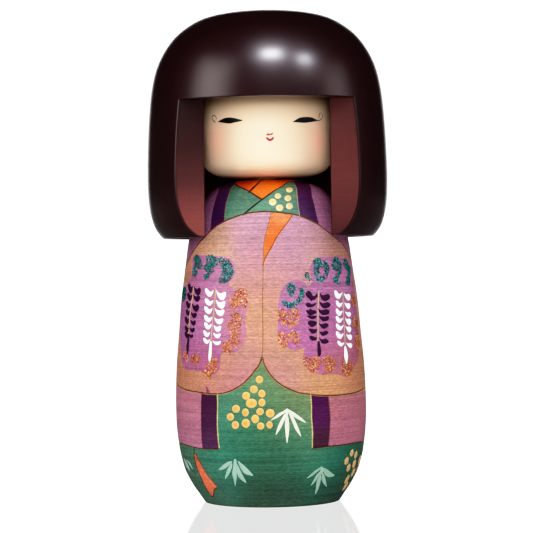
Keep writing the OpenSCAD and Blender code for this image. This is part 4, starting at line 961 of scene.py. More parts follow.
def dab(soup, outline, height, colour, surface=body_point, edge=0.28, step=0.4, rim=0.14, smooth_n=5,
        foot=-0.02, root=0.09, ridge=0.0, seed=1, domed=0.3):
    """One closed stroke of paint: an outline, a soft rim and a slightly domed top."""
    out = resample(smooth(outline, smooth_n, True), edge, True)
    a = out
    b = np.roll(out, -1, 0)
    area = 0.5 * float(np.sum(a[:, 0] * b[:, 1] - b[:, 0] * a[:, 1]))
    if area < 0:
        out = out[::-1]
    t = np.roll(out, -1, 0) - np.roll(out, 1, 0)
    t /= np.maximum(np.hypot(t[:, 0], t[:, 1]), 1e-9)[:, None]
    inn = out + np.stack([-t[:, 1], t[:, 0]], 1) * rim
    di = seg_dist(out, inn, True)
    inn = inn[inside(out, inn) & (di > rim * 0.8)]
    lo, hi = out.min(0), out.max(0)
    g = [(x, y) for j, y in enumerate(np.arange(lo[1], hi[1], step * 0.87))
         for x in np.arange(lo[0] + (0.5 * step if j % 2 else 0), hi[0], step)]
    g = np.array(g) if g else np.zeros((0, 2))
    if len(g):
        g = g[inside(out, g)]
    if len(g):
        g = g[seg_dist(out, g, True) > rim + step * 0.45]
    n = len(out)
    pts = np.vstack([out, inn, g])
    vs, _, fs, orig, *_ = delaunay_2d_cdt([Vector((float(p[0]), float(p[1]))) for p in pts],
                                          [(k, (k + 1) % n) for k in range(n)], [], 1, 1e-5)
    v = np.array([(q.x, q.y) for q in vs])
    f = np.array([tuple(q) for q in fs], int)
    if len(f) == 0:
        return
    f = f[inside(out, v[f].mean(1))]
    if len(f) == 0:
        return
    A, B_, C_ = v[f[:, 0]], v[f[:, 1]], v[f[:, 2]]
    ar = (B_[:, 0] - A[:, 0]) * (C_[:, 1] - A[:, 1]) - (B_[:, 1] - A[:, 1]) * (C_[:, 0] - A[:, 0])
    f = f[np.abs(ar) > 1e-9]
    ar = ar[np.abs(ar) > 1e-9]
    f[ar < 0] = f[ar < 0][:, ::-1]
    used = np.unique(f)
    m = np.full(len(v), -1)
    m[used] = np.arange(len(used))
    v, f = v[used], m[f]
    d = seg_dist(out, v, True)
    dm = max(float(d.max()), 1e-6)
    k = np.clip(d / rim, 0, 1)
    h = foot + (height - foot) * np.sqrt(np.clip(k * (2 - k), 0, 1)) * (1 - domed + domed * np.clip(d / dm, 0, 1))
    if ridge:
        h = h + ridge * vnoise(v * np.array([1, 1]), seed, 0.45) * (k > 0.9)
    e = {}
    for tri_ in f:
        for q in range(3):
            e[(tri_[q], tri_[(q + 1) % 3])] = 1
    border = [(p, q) for (p, q) in e if (q, p) not in e]
    top_co = surface(v, -h)[0]
    bot_co = surface(v, np.full(len(v), root))[0]
    nv = len(v)
    side = []
    for p, q in border:
        side += [(q, p, p + nv), (q, p + nv, q + nv)]
    allf = np.vstack([f, f[:, ::-1] + nv, np.array(side, int)])
    c = colour(v, d, dm) if callable(colour) else np.repeat(np.asarray(colour, float)[None], nv, 0)
    soup.add(np.vstack([top_co, bot_co]), allf, np.vstack([c, c]))


def to_sl(l):
    return to_s(np.array(l, float))


def jitter_col(c, seed, amount=0.04):
    r = np.random.RandomState(seed)
    return lin(c) * (1 + r.uniform(-amount, amount))


WHITE, DARK = (246, 243, 246), (48, 9, 46)


def petal_colour(base, seed, shadow=0.0):
    c0 = lin(base) * (0.95 if min(base) > 235 else 0.8)

    def f(v, d, dm):
        n = vnoise(v, seed, 0.7)
        k = 1 + 0.05 * n - shadow * np.clip(1 - d / 0.2, 0, 1)
        return c0[None] * k[:, None]
    return f


def moved(points, shift=0.0, mirror=False):
    return [((-u if mirror else u) + shift, z) for u, z in points]


whites, darks, stems, dots, leaves = Soup(), Soup(), Soup(), Soup(), Soup()
sd = 100
for o in P["petals_w"]:
    sd += 1
    dab(whites, to_sl(o), 0.17, petal_colour(WHITE, sd), rim=0.16, ridge=0.012, seed=sd)
for o in P["tails_w"]:
    sd += 1
    dab(whites, to_sl(o), 0.15, petal_colour(WHITE, sd), rim=0.14, ridge=0.01, seed=sd)
for o in P["petals_d"]:
    sd += 1
    dab(darks, to_sl(o), 0.15, petal_colour(DARK, sd), rim=0.16, ridge=0.02, seed=sd)
for o in P["tails_d"]:
    sd += 1
    dab(darks, to_sl(o), 0.13, petal_colour(DARK, sd), rim=0.14, ridge=0.01, seed=sd)


def ribbon(points, w0, w1):
    """Outline of a thin brush line of width w0 to w1."""
    p = resample(smooth(to_sl(points), 6), 0.45)
    t = np.gradient(p, axis=0)
    t /= np.maximum(np.hypot(t[:, 0], t[:, 1]), 1e-9)[:, None]
    n = np.stack([-t[:, 1], t[:, 0]], 1)
    w = np.linspace(w0, w1, len(p))[:, None] / 2
    return np.vstack([p + n * w, (p - n * w)[::-1]])


for o in P["stems"]:
    sd += 1
    dab(stems, ribbon(o, 0.42, 0.34), 0.06, petal_colour((196, 184, 104), sd), rim=0.1, smooth_n=2, domed=0.0)


def dot_colour(seed, pale, tone=1.0):
    r = np.random.RandomState(seed)
    centre, body_c, edge_c = ((232, 160, 92), (244, 206, 140), (250, 230, 176)) if pale else ((226, 146, 66), (242, 176, 92), (250, 204, 134))
    if tone < 1:
        centre, body_c, edge_c = (214, 172, 112), (216, 170, 110), (222, 188, 134)
    a, b, c = lin(centre) * 0.8 * tone ** 0.3, lin(body_c) * 0.8 * tone ** 0.3, lin(edge_c) * 0.8 * tone ** 0.3
    off = r.uniform(-0.25, 0.25, 2)
    amount = r.uniform(0.35, 1.0)

    def f(v, d, dm):
        m = v.mean(0) + off
        q = np.hypot(*(v - m).T)
        k = np.clip(1.25 - q / 0.62, 0, 1)[:, None] * amount
        e = np.clip(1 - d / 0.35, 0, 1)[:, None]
        col = b * (1 - k) + a * k
        return (col * (1 - e) + c * e) * (1 + 0.04 * vnoise(v, seed, 0.6))[:, None]
    return f


def round_at(outline, k):
    """The same dot seen square on: a circle of its own height."""
    q = np.array(outline)
    c, rr = q.mean(0), 0.5 * k * np.ptp(q[:, 1])
    return [(c[0] + rr * math.cos(t), c[1] + rr * math.sin(t)) for t in np.linspace(0, 2 * math.pi, 15)[:-1]]


for i, o in enumerate(P["dots"]):
    sd += 1
    side = o[0][0] > 30
    if side:
        o = round_at(o, 1.12)
    dab(dots, to_sl(o), 0.13 if side else 0.19, dot_colour(sd, i < 6, 0.62 if side else 1.0), rim=0.3, edge=0.3, smooth_n=3, seed=sd, domed=0.25)
for o in P["leaf_cream"]:
    sd += 1
    dab(leaves, to_sl(o), 0.06, petal_colour((226, 226, 206), sd), rim=0.12)
for k, o in enumerate(P["leaf_green"]):
    sd += 1
    if k == 12:
        um = float(np.mean([q[0] for q in o]))
        o = [(um + 2.2 + (u - um) * 0.4, z) for u, z in o]
    dab(leaves, to_sl(o), 0.06, petal_colour((150, 184, 166) if k < 5 or k > 9 else (144, 176, 156), sd), rim=0.12)

for q, o in enumerate(P["leaf_hub"]):
    sd += 1
    dab(leaves, to_sl(o), 0.075, petal_colour((150, 184, 166) if q else (226, 226, 206), sd), rim=0.12, edge=0.2, step=0.3)

# the back, painted in the same manner
BW = [k for k in range(7)] + [14, 15, 16, 17, 18, 19, 20]
back_shift = END / 2
for k in BW:
    sd += 1
    o = moved(P["petals_w"][k], back_shift + 14.5)
    dab(whites, to_sl(o), 0.16, petal_colour(WHITE, sd), rim=0.16, seed=sd)
dab(whites, to_sl(moved(P["tails_w"][0], back_shift + 14.5)), 0.15, petal_colour(WHITE, 301), rim=0.14)
dab(stems, ribbon(moved(P["stems"][0], back_shift + 14.5), 0.42, 0.34), 0.06, petal_colour((196, 184, 104), 302), rim=0.1, smooth_n=2, domed=0.0)
for k in range(14):
    sd += 1
    o = moved(P["petals_d"][k], back_shift - 10.5)
    dab(darks, to_sl(o), 0.14, petal_colour(DARK, sd), rim=0.16, seed=sd)
dab(darks, to_sl(moved(P["tails_d"][1], back_shift - 10.5)), 0.13, petal_colour(DARK, 303), rim=0.14)
dab(stems, ribbon(moved(P["stems"][2], back_shift - 10.5), 0.42, 0.34), 0.06, petal_colour((196, 184, 104), 304), rim=0.1, smooth_n=2, domed=0.0)
for du, dz in ((47.0, -0.4), (-82.0, 0.3)):
    for k in range(5):
        sd += 1
        o = [(u + du, z + dz) for u, z in P["leaf_green"][5 + k]]
        dab(leaves, to_sl(o), 0.06, petal_colour((160, 182, 158), sd), rim=0.12)
for k in range(5):
    sd += 1
    o = [(u + 97.0, z - 0.3) for u, z in P["leaf_green"][k]]
    dab(leaves, to_sl(o), 0.06, petal_colour((172, 192, 172), sd), rim=0.12)
for k in range(22, 33):
    sd += 1
    o = round_at([(u + 62.0, z - 0.2) for u, z in P["dots"][k]], 1.0)
    dab(dots, to_sl(o), 0.15, dot_colour(sd, False, 0.62), rim=0.3, edge=0.3, smooth_n=3, seed=sd, domed=0.25)

whites.build("wisteria_white", mat_dab, "body", "kimono_paint")
darks.build("wisteria_dark", mat_dab, "body", "kimono_paint")
stems.build("wisteria_stems", mat_dab, "body", "kimono_paint")
dots.build("round_dots", mat_dab, "body", "kimono_paint")
leaves.build("bamboo_leaves", mat_dab, "body", "kimono_paint")


# ------------------------------------------------------------------ glitter
def flake(soup, at, size, thick, tilt, turn, colour):
    """A small flat closed chip with five corners, lying on the surface."""
    p, n = body_point(at[None], np.array([-thick]))
    p, n = p[0], n[0]
    t1 = np.array([math.cos(at[0] / BODY_R), math.sin(at[0] / BODY_R), 0.0])
    t2 = np.cross(n, t1)
    n = n + t1 * tilt[0] + t2 * tilt[1]
    n /= np.linalg.norm(n)
    t1 = np.cross(t2, n)
    t1 /= np.linalg.norm(t1)
    t2 = np.cross(n, t1)
    pts = []
    for k in range(5):
        a = turn + 2 * math.pi * k / 5
        r = size * (0.85 + 0.3 * ((k * 7 + int(turn * 10)) % 3) / 2)
        pts.append(p + (t1 * math.cos(a) + t2 * math.sin(a)) * r)
    v = pts + [p + n * thick * 0.6, p - n * thick * 0.9]
    v = np.array(v)
    rad = np.hypot(v[:, 0], v[:, 1])
    lim = np.minimum((BODY_R - 0.01) / np.maximum(np.abs(v[:, 0]) / rad, 1e-3), (BODY_R - 0.01) / np.maximum(np.abs(v[:, 1]) / rad, 1e-3))
    k = np.minimum(1, lim / rad)
    v[:, 0] *= k
    v[:, 1] *= k
    f = []
    for k in range(5):
        f.append((k, (k + 1) % 5, 5))
        f.append(((k + 1) % 5, k, 6))
    soup.add(v, f, np.repeat(np.asarray(colour)[None], 7, 0))


def tuft(glue, flakes, outline, base, tints, density, seed, glue_h=0.08, spill=0.35, inset=0.15):
    r = np.random.RandomState(seed)
    o = to_sl(outline)
    sm_o = smooth(o, 5, True)
    # a slightly ragged glue edge
    rag = resample(sm_o, 0.45, True)
    t = np.roll(rag, -1, 0) - np.roll(rag, 1, 0)
    t /= np.maximum(np.hypot(t[:, 0], t[:, 1]), 1e-9)[:, None]
    side = 1 if float(np.sum(rag[:, 0] * np.roll(rag[:, 1], -1) - np.roll(rag[:, 0], -1) * rag[:, 1])) > 0 else -1
    wave = inset * (0.55 + 0.9 * vnoise(rag, seed + 9, 0.6)) + r.uniform(-0.1, 0.1, len(rag))
    rag = rag + np.stack([-t[:, 1], t[:, 0]], 1) * (side * wave)[:, None]
    b0 = lin(base)

    def gc(v, d, dm):
        return b0[None] * (1 + 0.35 * vnoise(v, seed, 0.35))[:, None]
    if glue_h > 0:
        dab(glue, rag, glue_h, gc, rim=0.12, smooth_n=1, edge=0.3, step=0.35, ridge=0.03, seed=seed, domed=0.1)
    lo, hi = sm_o.min(0) - spill, sm_o.max(0) + spill
    area = (hi - lo).prod()
    n = int(area * density)
    q = r.uniform(lo, hi, (n, 2))
    ins = inside(sm_o, q)
    d = seg_dist(sm_o, q, True)
    keep = ins | (d < spill * r.uniform(0, 1, n) ** 2)
    for p_ in q[keep]:
        c = lin(tints[r.randint(len(tints))]) * r.uniform(0.5, 1.25)
        flake(flakes, p_, r.uniform(0.16, 0.27), 0.05, r.uniform(-0.55, 0.55, 2), r.uniform(0, 6.28), np.clip(c, 0, 1))


glue, flakes = Soup(), Soup()
TEAL = [(8, 106, 104), (10, 124, 116), (2, 62, 68), (16, 140, 130), (0, 40, 48), (4, 76, 82), (0, 34, 44), (2, 90, 92), (64, 172, 158)]
AMBER = [(200, 108, 48), (222, 134, 64), (160, 74, 30), (244, 178, 112), (186, 92, 42), (128, 56, 30), (214, 124, 80)]
for k, o in enumerate(P["teal"]):
    tuft(glue, flakes, o, (2, 70, 76), TEAL, 16.5, 400 + k, glue_h=0, spill=0.4)
for k, o in enumerate(P["amber"]):
    tuft(glue, flakes, o, (196, 118, 72), AMBER, 11.5, 500 + k, glue_h=0, spill=0.4)
for k, (src, du, dz) in enumerate((("teal", 82.0, 1.5), ("teal", 118.0, -1.0))):
    for j in ((2, 4), (1, 2))[k]:
        tuft(glue, flakes, [(u + du, z + dz) for u, z in P[src][j]], (2, 70, 76), TEAL, 13.0, 600 + 10 * k + j, glue_h=0)
for k, (j, du, dz) in enumerate(((0, 125.0, -4.0), (2, 108.0, -3.0), (5, 102.0, 4.0), (6, 76.0, 2.0))):
    tuft(glue, flakes, [(u + du, z + dz) for u, z in P["amber"][j]], (196, 118, 72), AMBER, 11.0, 640 + k, glue_h=0)
# loose sparkle round the tufts
r = np.random.RandomState(77)
for (cu, cz, su, sz, n, pal) in ((12.5, 68, 2.6, 3.0, 60, TEAL), (25, 70, 2.6, 2.8, 40, TEAL), (-13, 72, 1.6, 1.8, 14, TEAL),
                                 (10, 58, 3.0, 2.6, 26, AMBER), (8.5, 52, 2.4, 2.6, 26, AMBER), (-14, 51, 1.8, 2.0, 20, AMBER),
                                 (-12, 62, 2.6, 2.4, 20, AMBER), (26, 43.5, 4.5, 1.2, 26, AMBER), (-24, 43.5, 2.4, 1.4, 14, AMBER)):
    for _ in range(n):
        at = np.array([r.normal(cu, su), float(s_of(r.normal(cz, sz)))])
        flake(flakes, at, r.uniform(0.07, 0.13), 0.035, r.uniform(-0.5, 0.5, 2), r.uniform(0, 6.28), lin(pal[r.randint(len(pal))]))
flakes.build("glitter_flakes", mat_glitter, "body", "kimono_paint", smooth_shade=False)


# ------------------------------------------------------------------ face core
def lathe(profile, count, close_start=None, close_end=None):
    """Rings of a turned shape. Returns vertices, faces and (theta, r, z) for each vertex."""
    p = np.asarray(profile, float)
    v, f, info = [], [], []
    th = np.linspace(0, 2 * math.pi, count, endpoint=False)
    for r, z in p:
        for t in th:
            v.append((r * math.sin(t), -r * math.cos(t), z))
            info.append((t, r, z))
    for i in range(len(p) - 1):
        for k in range(count):
            a, b = i * count + k, i * count + (k + 1) % count
            f.append((a, b, b + count, a + count))
    return v, f, info


chin = []
for t in (0, 2, 5, 9, 14, 20, 26, 32, 38, 45, 52, 58, 64, 70, 76, 81, 85, 88, 90):
    a = math.radians(t)
    chin.append((CHIN_FLAT + (FACE_R - 0.03 - CHIN_FLAT) * math.sin(a) ** (2 / 3),
                 CHIN_Z + CHIN_H - CHIN_H * math.cos(a) ** (2 / 3)))
chin = resample(np.array(chin), 0.55)
side = [(FACE_R - 0.03, z) for z in np.linspace(CHIN_Z + CHIN_H, SOCKET_Z - 0.8, 36)[1:]]
prof = [(0.001, CHIN_Z + 18.5), (4.0, CHIN_Z + 18.5), (4.0, CHIN_Z + 0.15), (4.15, CHIN_Z)] + [tuple(q) for q in chin] + side + \
       [(FACE_R - 0.83, SOCKET_Z), (0.001, SOCKET_Z)]
NC = 144
fv, ff, finfo = lathe(prof, NC)
# close both poles with one vertex each
fv, ff = list(fv), list(ff)
pole0, pole1 = len(fv), len(fv) + 1
fv += [(0, 0, prof[0][1]), (0, 0, prof[-1][1])]
first, last = set(range(NC)), set(range((len(prof) - 1) * NC, len(prof) * NC))
m = {i: pole0 for i in first}
m.update({i: pole1 for i in last})
ff = [tuple(dict.fromkeys(m.get(i, i) for i in q)) for q in ff]
ff = [q for q in ff if len(q) >= 3]
use = sorted({i for q in ff for i in q})
back = {i: k for k, i in enumerate(use)}
ff = [tuple(back[i] for i in q) for q in ff]
fv = np.array(fv)[use]
tha = np.arctan2(fv[:, 0], -fv[:, 1])
ua, za = tha * FACE_R, fv[:, 2]
cream = lin((229, 202, 170))
col = np.repeat(cream[None], len(fv), 0)
wl = np.exp(-((ua + 18.6) / 5.0) ** 2 - ((za - 113.6) / 5.4) ** 2)
wr = np.exp(-((ua - 18.8) / 5.2) ** 2 - ((za - 113.2) / 5.6) ** 2)
w = np.clip(wl * 0.95 + wr * 0.95, 0, 1)[:, None]
col = col * (1 - w) + lin((255, 192, 160)) * w
# warm tint at the chin: partly blush, partly painted reflected light from the orange collar
w = (np.exp(-(ua / 9.0) ** 2 - ((za - 102.3) / 2.6) ** 2) * 0.5)[:, None]
col = col * (1 - w) + lin((255, 206, 168)) * w
# painted shade: warm darkening below the fringe, low on the face and towards the hair
shade = (np.clip((za - (FRINGE_Z - 8.0)) / 8.0, 0, 1) ** 1.4)[:, None]
col = col * (1 - shade * (1 - np.array([0.50, 0.44, 0.37])))
# painted shade low on the face
shade = (np.clip((111.0 - za) / 8.0, 0, 1))[:, None]
col = col * (1 - shade * (1 - np.array([0.98, 0.90, 0.85])))
# painted shade at the sides of the face, next to the hair
hair_side_shade = (np.clip((np.abs(ua) - 22.5) / 5.0, 0, 1))[:, None]
col = col * (1 - hair_side_shade * (1 - np.array([1.0, 0.88, 0.76])))
face_obj = make_object("face_core", fv, ff, mat_face, True, None, col)
# rounded chin shades smoothly; the flat ends and the bore stay crisp
me = face_obj.data
mark = me.attributes.get("sharp_edge") or me.attributes.new("sharp_edge", "BOOLEAN", "EDGE")
sharp = []
for e in me.edges:
    a, b = (me.vertices[i].co for i in e.vertices)
    ra, rb, z_a = math.hypot(a.x, a.y) * 1000, math.hypot(b.x, b.y) * 1000, a.z * 1000
    sharp.append(abs(a.z - b.z) < 1e-6 and (ra < 4.2 or z_a > SOCKET_Z - 0.9))
mark.data.foreach_set("value", sharp)
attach(face_obj, "head")
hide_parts("face")

eyes = Soup()


def flat_colour(c):
    return np.array(lin(c))


def ribbon_f(points, w0, w1):
    p = resample(smooth(points, 6), 0.3)
    t = np.gradient(p, axis=0)
    t /= np.maximum(np.hypot(t[:, 0], t[:, 1]), 1e-9)[:, None]
    n = np.stack([-t[:, 1], t[:, 0]], 1)
    w = np.linspace(w0, w1, len(p))[:, None] / 2
    return np.vstack([p + n * w, (p - n * w)[::-1]])


dab(eyes, P["eye_l"], 0.028, flat_colour((16, 15, 15)), face_point, 0.25, 0.5, 0.1, root=0.06, foot=-0.012, domed=0.0)
dab(eyes, P["eye_r"], 0.028, flat_colour((22, 22, 26)), face_point, 0.25, 0.5, 0.1, root=0.06, foot=-0.012, domed=0.0)
for l, w0, w1 in zip(P["lash"], (0.36, 0.36, 0.34), (0.3, 0.28, 0.28)):
    dab(eyes, ribbon_f(l, w0, w1), 0.02, flat_colour((52, 44, 42)), face_point, 0.2, 0.4, 0.06, root=0.06, foot=-0.01, smooth_n=2, domed=0.0)
dab(eyes, P["nose"], 0.025, flat_colour((176, 52, 48)), face_point, 0.2, 0.4, 0.1, root=0.06, foot=-0.012, domed=0.0)
dab(eyes, P["mouth"], 0.028, flat_colour((156, 26, 34)), face_point, 0.2, 0.4, 0.1, root=0.06, foot=-0.012, domed=0.0)
eyes.build("face_lines", mat_face, "head", "face_paint")

# ------------------------------------------------------------------ neck peg: the CAD piece in bare wood
mat_peg = grain_material("peg_wood", 0.08, 0.1, 0.5, 0.0, attr=False, base=tuple(lin((222, 190, 146))))
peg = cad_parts["neck_peg"]
peg.data.materials.clear()
peg.data.materials.append(mat_peg)


# ------------------------------------------------------------------ hair
BEV = 0.42
hair_curve = smooth([(a * HAIR_R, RIM_Z + b * (TOP_Z - RIM_Z)) for a, b in HAIR_OUT], 10)[::-1]
soften = resample(hair_curve, 0.5)
for _ in range(26):
    hold = soften.copy()
    soften[1:-1] = 0.25 * hold[:-2] + 0.5 * hold[1:-1] + 0.25 * hold[2:]
    keep = (hold[:, 1] < 88.0) | (hold[:, 0] < 2.0)
    soften[keep] = hold[keep]
hair_curve = soften
k = int(np.argmax(hair_curve[:, 1] < FRINGE_Z))
a_, b_ = hair_curve[k - 1], hair_curve[k]
R_CUT = float(a_[0] + (b_[0] - a_[0]) * (FRINGE_Z - a_[1]) / (b_[1] - a_[1]))
slope = (b_ - a_) / np.linalg.norm(b_ - a_)
# rows above the cut, from the crown to BEV above it
upper = [tuple(q) for q in hair_curve[:k] if q[1] > FRINGE_Z + BEV + 0.15]
upper.append((float(np.interp(-(FRINGE_Z + BEV), -hair_curve[:, 1][:k + 3], hair_curve[:, 0][:k + 3])), FRINGE_Z + BEV))
upper = resample(np.array(upper), 1.05)
lower = [(R_CUT, FRINGE_Z)] + [tuple(q) for q in hair_curve[k:]]
lower = np.array(lower)
inner_rim = smooth([(32.58, 83.5), (32.3, 83.53), (32.08, 83.72), (32.0, 84.1), (32.0, 85.0)], 4)
bottom = lower[lower[:, 1] < 86.5]
side_low = lower[lower[:, 1] >= 86.5]
rows_low = np.vstack([resample(side_low, 1.05), resample(np.vstack([side_low[-1:], bottom]), 0.42)[1:],
                      resample(np.vstack([[bottom[-1]], inner_rim[1:]]), 0.3)[1:],
                      [(32.0, z) for z in np.linspace(85.0, FRINGE_Z, 38)[1:]]])
full_path = np.vstack([upper, rows_low])
d = np.gradient(full_path, axis=0)
d /= np.maximum(np.linalg.norm(d, axis=1), 1e-9)[:, None]
pn = np.stack([-d[:, 1], d[:, 0]], 1)         # outward for a path that runs down the outside
pn[0] = (0.0, 1.0)
nU, nL = len(upper), len(rows_low)
HV, HN, HF, HP = [], [], [], []               # vertices, normals, faces, part of each face
PART_N = {"strip": (0.0, -1.0, 0.0), "under": (0.0, 0.0, -1.0), "top_in": (0.0, 0.0, -1.0)}
special = {}                                  # (part, vertex) -> normal


def hv(p, n):
    HV.append(tuple(float(q) for q in p))
    HN.append(tuple(float(q) for q in n))
    return len(HV) - 1


def on_lathe(r, z, nr, nz, t):
    return hv((r * math.sin(t), -r * math.cos(t), z), (nr * math.sin(t), -nr * math.cos(t), nz))


def quad(a, b, c, d_, part):
    q = tuple(dict.fromkeys((a, b, c, d_)))
    if len(q) >= 3:
        HF.append(q)
        HP.append(part)


N_LOW, N_FR, N_BEV, N_LINE = 168, 56, 4, 6
r_m = upper[-1, 0]
TH0 = math.acos(WINDOW_Y / R_CUT)
TH_M = TH0 + BEV / R_CUT
TH_Q = math.acos(WINDOW_Y / (R_CUT - BEV))
low_ang = [np.linspace(TH_M, 2 * math.pi - TH_M, N_LOW + 1)]
for r, z in rows_low:
    al = math.acos(min(WINDOW_Y / r, 1)) + BEV / r
    low_ang.append(np.linspace(al, 2 * math.pi - al, N_LOW + 1))
fr_ang = np.linspace(-TH_M, TH_M, N_FR + 1)
ring_ang = np.concatenate([low_ang[0], 2 * math.pi + fr_ang[1:-1]])
NR = len(ring_ang)
crown = hv((0, 0, upper[0, 1]), (0, 0, 1))
prev = None
for i in range(1, nU):
    ids = [on_lathe(upper[i, 0], upper[i, 1], pn[i, 0], pn[i, 1], t) for t in ring_ang]
    for c in range(NR):
        c2 = (c + 1) % NR
        if prev is None:
            HF.append((crown, ids[c], ids[c2]))
            HP.append("outer")
        else:
            quad(prev[c], ids[c], ids[c2], prev[c2], "outer")
    prev = ids
junction = prev
low_first = junction[:N_LOW + 1]
fringe_top = [junction[N_LOW]] + junction[N_LOW + 1:] + [junction[0]]
prev = low_first
low_rows = [low_first]
for i in range(nL):
    r, z = rows_low[i]
    nr, nz = pn[nU + i]
    if i == nL - 1:
        nr, nz = -1.0, 0.0
    ids = [on_lathe(r, z, nr, nz, t) for t in low_ang[i + 1]]
    part = "outer" if (nr > -0.5) else "inner"
    for c in range(N_LOW):
        quad(prev[c], ids[c], ids[c + 1], prev[c + 1], part)
    low_rows.append(ids)
    prev = ids


def bez(a, e, b, t):
    a, e, b = (np.array(q, float) for q in (a, e, b))
    return (1 - t) ** 2 * a + 2 * t * (1 - t) * e + t * t * b


def mixn(a, b, t):
    n = np.array(a, float) * (1 - t) + np.array(b, float) * t
    return n / max(np.linalg.norm(n), 1e-9)


strip_edges = {}
for sgn in (1, -1):
    b_pts = []
    rows = []
    for i, ids in enumerate(low_rows):
        if i == 0:
            r, z = R_CUT, FRINGE_Z
        else:
            r, z = rows_low[i - 1]
        e = np.array([sgn * math.sqrt(max(r * r - WINDOW_Y ** 2, 0)), -WINDOW_Y, z])
        rows.append((ids[0] if sgn > 0 else ids[-1], e))
    es = np.array([e for _, e in rows])
    t = np.gradient(es[:, [0, 2]], axis=0)
    t /= np.maximum(np.linalg.norm(t, axis=1), 1e-9)[:, None]
    inward = np.stack([-t[:, 1], t[:, 0]], 1) * (-sgn)
    bev_rows = []
    for i, (a_id, e) in enumerate(rows):
        if i == 0:
            b = np.array([sgn * math.sqrt((R_CUT - BEV) ** 2 - WINDOW_Y ** 2), -WINDOW_Y, FRINGE_Z])
        elif i == len(rows) - 1:
            b = np.array([e[0] + sgn * BEV, -WINDOW_Y, FRINGE_Z])
        else:
            b = np.array([e[0] + inward[i, 0] * BEV, -WINDOW_Y, e[2] + inward[i, 1] * BEV])
            b[2] = min(b[2], FRINGE_Z - 0.02 * i)
        ids = [a_id]
        for q in range(1, N_BEV + 1):
            tt = q / N_BEV
            ids.append(hv(bez(HV[a_id], e, b, tt), mixn(HN[a_id], (0, -1, 0), tt)))
        bev_rows.append(ids)
    for i in range(len(bev_rows) - 1):
        for q in range(N_BEV):
            quad(bev_rows[i][q], bev_rows[i + 1][q], bev_rows[i + 1][q + 1], bev_rows[i][q + 1], "bevel")
    strip_edges[sgn] = bev_rows

# front edge of the fringe: bevel rows from the outside to the underside
fr_cols = []
for j in range(N_FR + 1):
    a_id = fringe_top[j]
    th = -TH_M + (2 * TH_M) * j / N_FR
    if j == 0:
        ids = [a_id] + strip_edges[-1][0][1:]
    elif j == N_FR:
        ids = [a_id] + strip_edges[1][0][1:]
    else:
        te, tb = th * TH0 / TH_M, th * TH_Q / TH_M
        e = (R_CUT * math.sin(te), -R_CUT * math.cos(te), FRINGE_Z)
        b = ((R_CUT - BEV) * math.sin(tb), -(R_CUT - BEV) * math.cos(tb), FRINGE_Z)
        ids = [a_id] + [hv(bez(HV[a_id], e, b, q / N_BEV), mixn(HN[a_id], (0, 0, -1), q / N_BEV)) for q in range(1, N_BEV + 1)]
    fr_cols.append(ids)
for j in (0, N_FR):
    for q in range(N_BEV + 1):
        special[("bevel_u", fr_cols[j][q])] = tuple(mixn(HN[fr_cols[j][0]], (0, 0, -1), q / N_BEV))
for j in range(N_FR):
    for q in range(N_BEV):
        quad(fr_cols[j][q], fr_cols[j + 1][q], fr_cols[j + 1][q + 1], fr_cols[j][q + 1], "bevel_u")


def fill_loop(loop, axes, const_axis, const, spacing, part):
    """Triangles inside a flat closed loop of vertices, with filling points."""
    p2 = np.array([[HV[i][axes[0]], HV[i][axes[1]]] for i in loop])
    lo, hi = p2.min(0), p2.max(0)
    g = np.array([(x, y) for j, y in enumerate(np.arange(lo[1], hi[1], spacing * 0.87))
                  for x in np.arange(lo[0] + (0.5 * spacing if j % 2 else 0), hi[0], spacing)])
    g = g[inside(p2, g)]
    g = g[seg_dist(p2, g, True) > spacing * 0.45]
    n = len(loop)
    pts = np.vstack([p2, g])
    vs, _, fs, orig, *_ = delaunay_2d_cdt([Vector((float(a), float(b))) for a, b in pts], [(q, (q + 1) % n) for q in range(n)], [], 0, 1e-6)
    v = np.array([(q.x, q.y) for q in vs])
    f = np.array([tuple(q) for q in fs], int)
    f = f[inside(p2, v[f].mean(1))]
    nrm = PART_N[part]
    ids = {}
    for i in range(len(v)):
        o_ = [q for q in orig[i] if q < n]
        if o_:
            ids[i] = loop[o_[0]]
    for tri_ in f:
        for i in tri_:
            if i not in ids:
                p = [0.0, 0.0, 0.0]
                p[axes[0]], p[axes[1]], p[const_axis] = v[i][0], v[i][1], const
                ids[i] = hv(p, nrm)
        q = tuple(ids[i] for i in tri_)
        if len(set(q)) == 3:
            HF.append(q)
            HP.append(part)


concave = {}
for sgn in (1, -1):
    q0, q1 = strip_edges[sgn][0][-1], strip_edges[sgn][-1][-1]
    a, b = np.array(HV[q0]), np.array(HV[q1])
    concave[sgn] = [q0] + [hv(a + (b - a) * k / N_LINE, (0, -1, 0)) for k in range(1, N_LINE)] + [q1]
    loop = [row[-1] for row in strip_edges[sgn]] + concave[sgn][1:-1][::-1]
    fill_loop(loop, (0, 2), 1, -WINDOW_Y, 1.3, "strip")

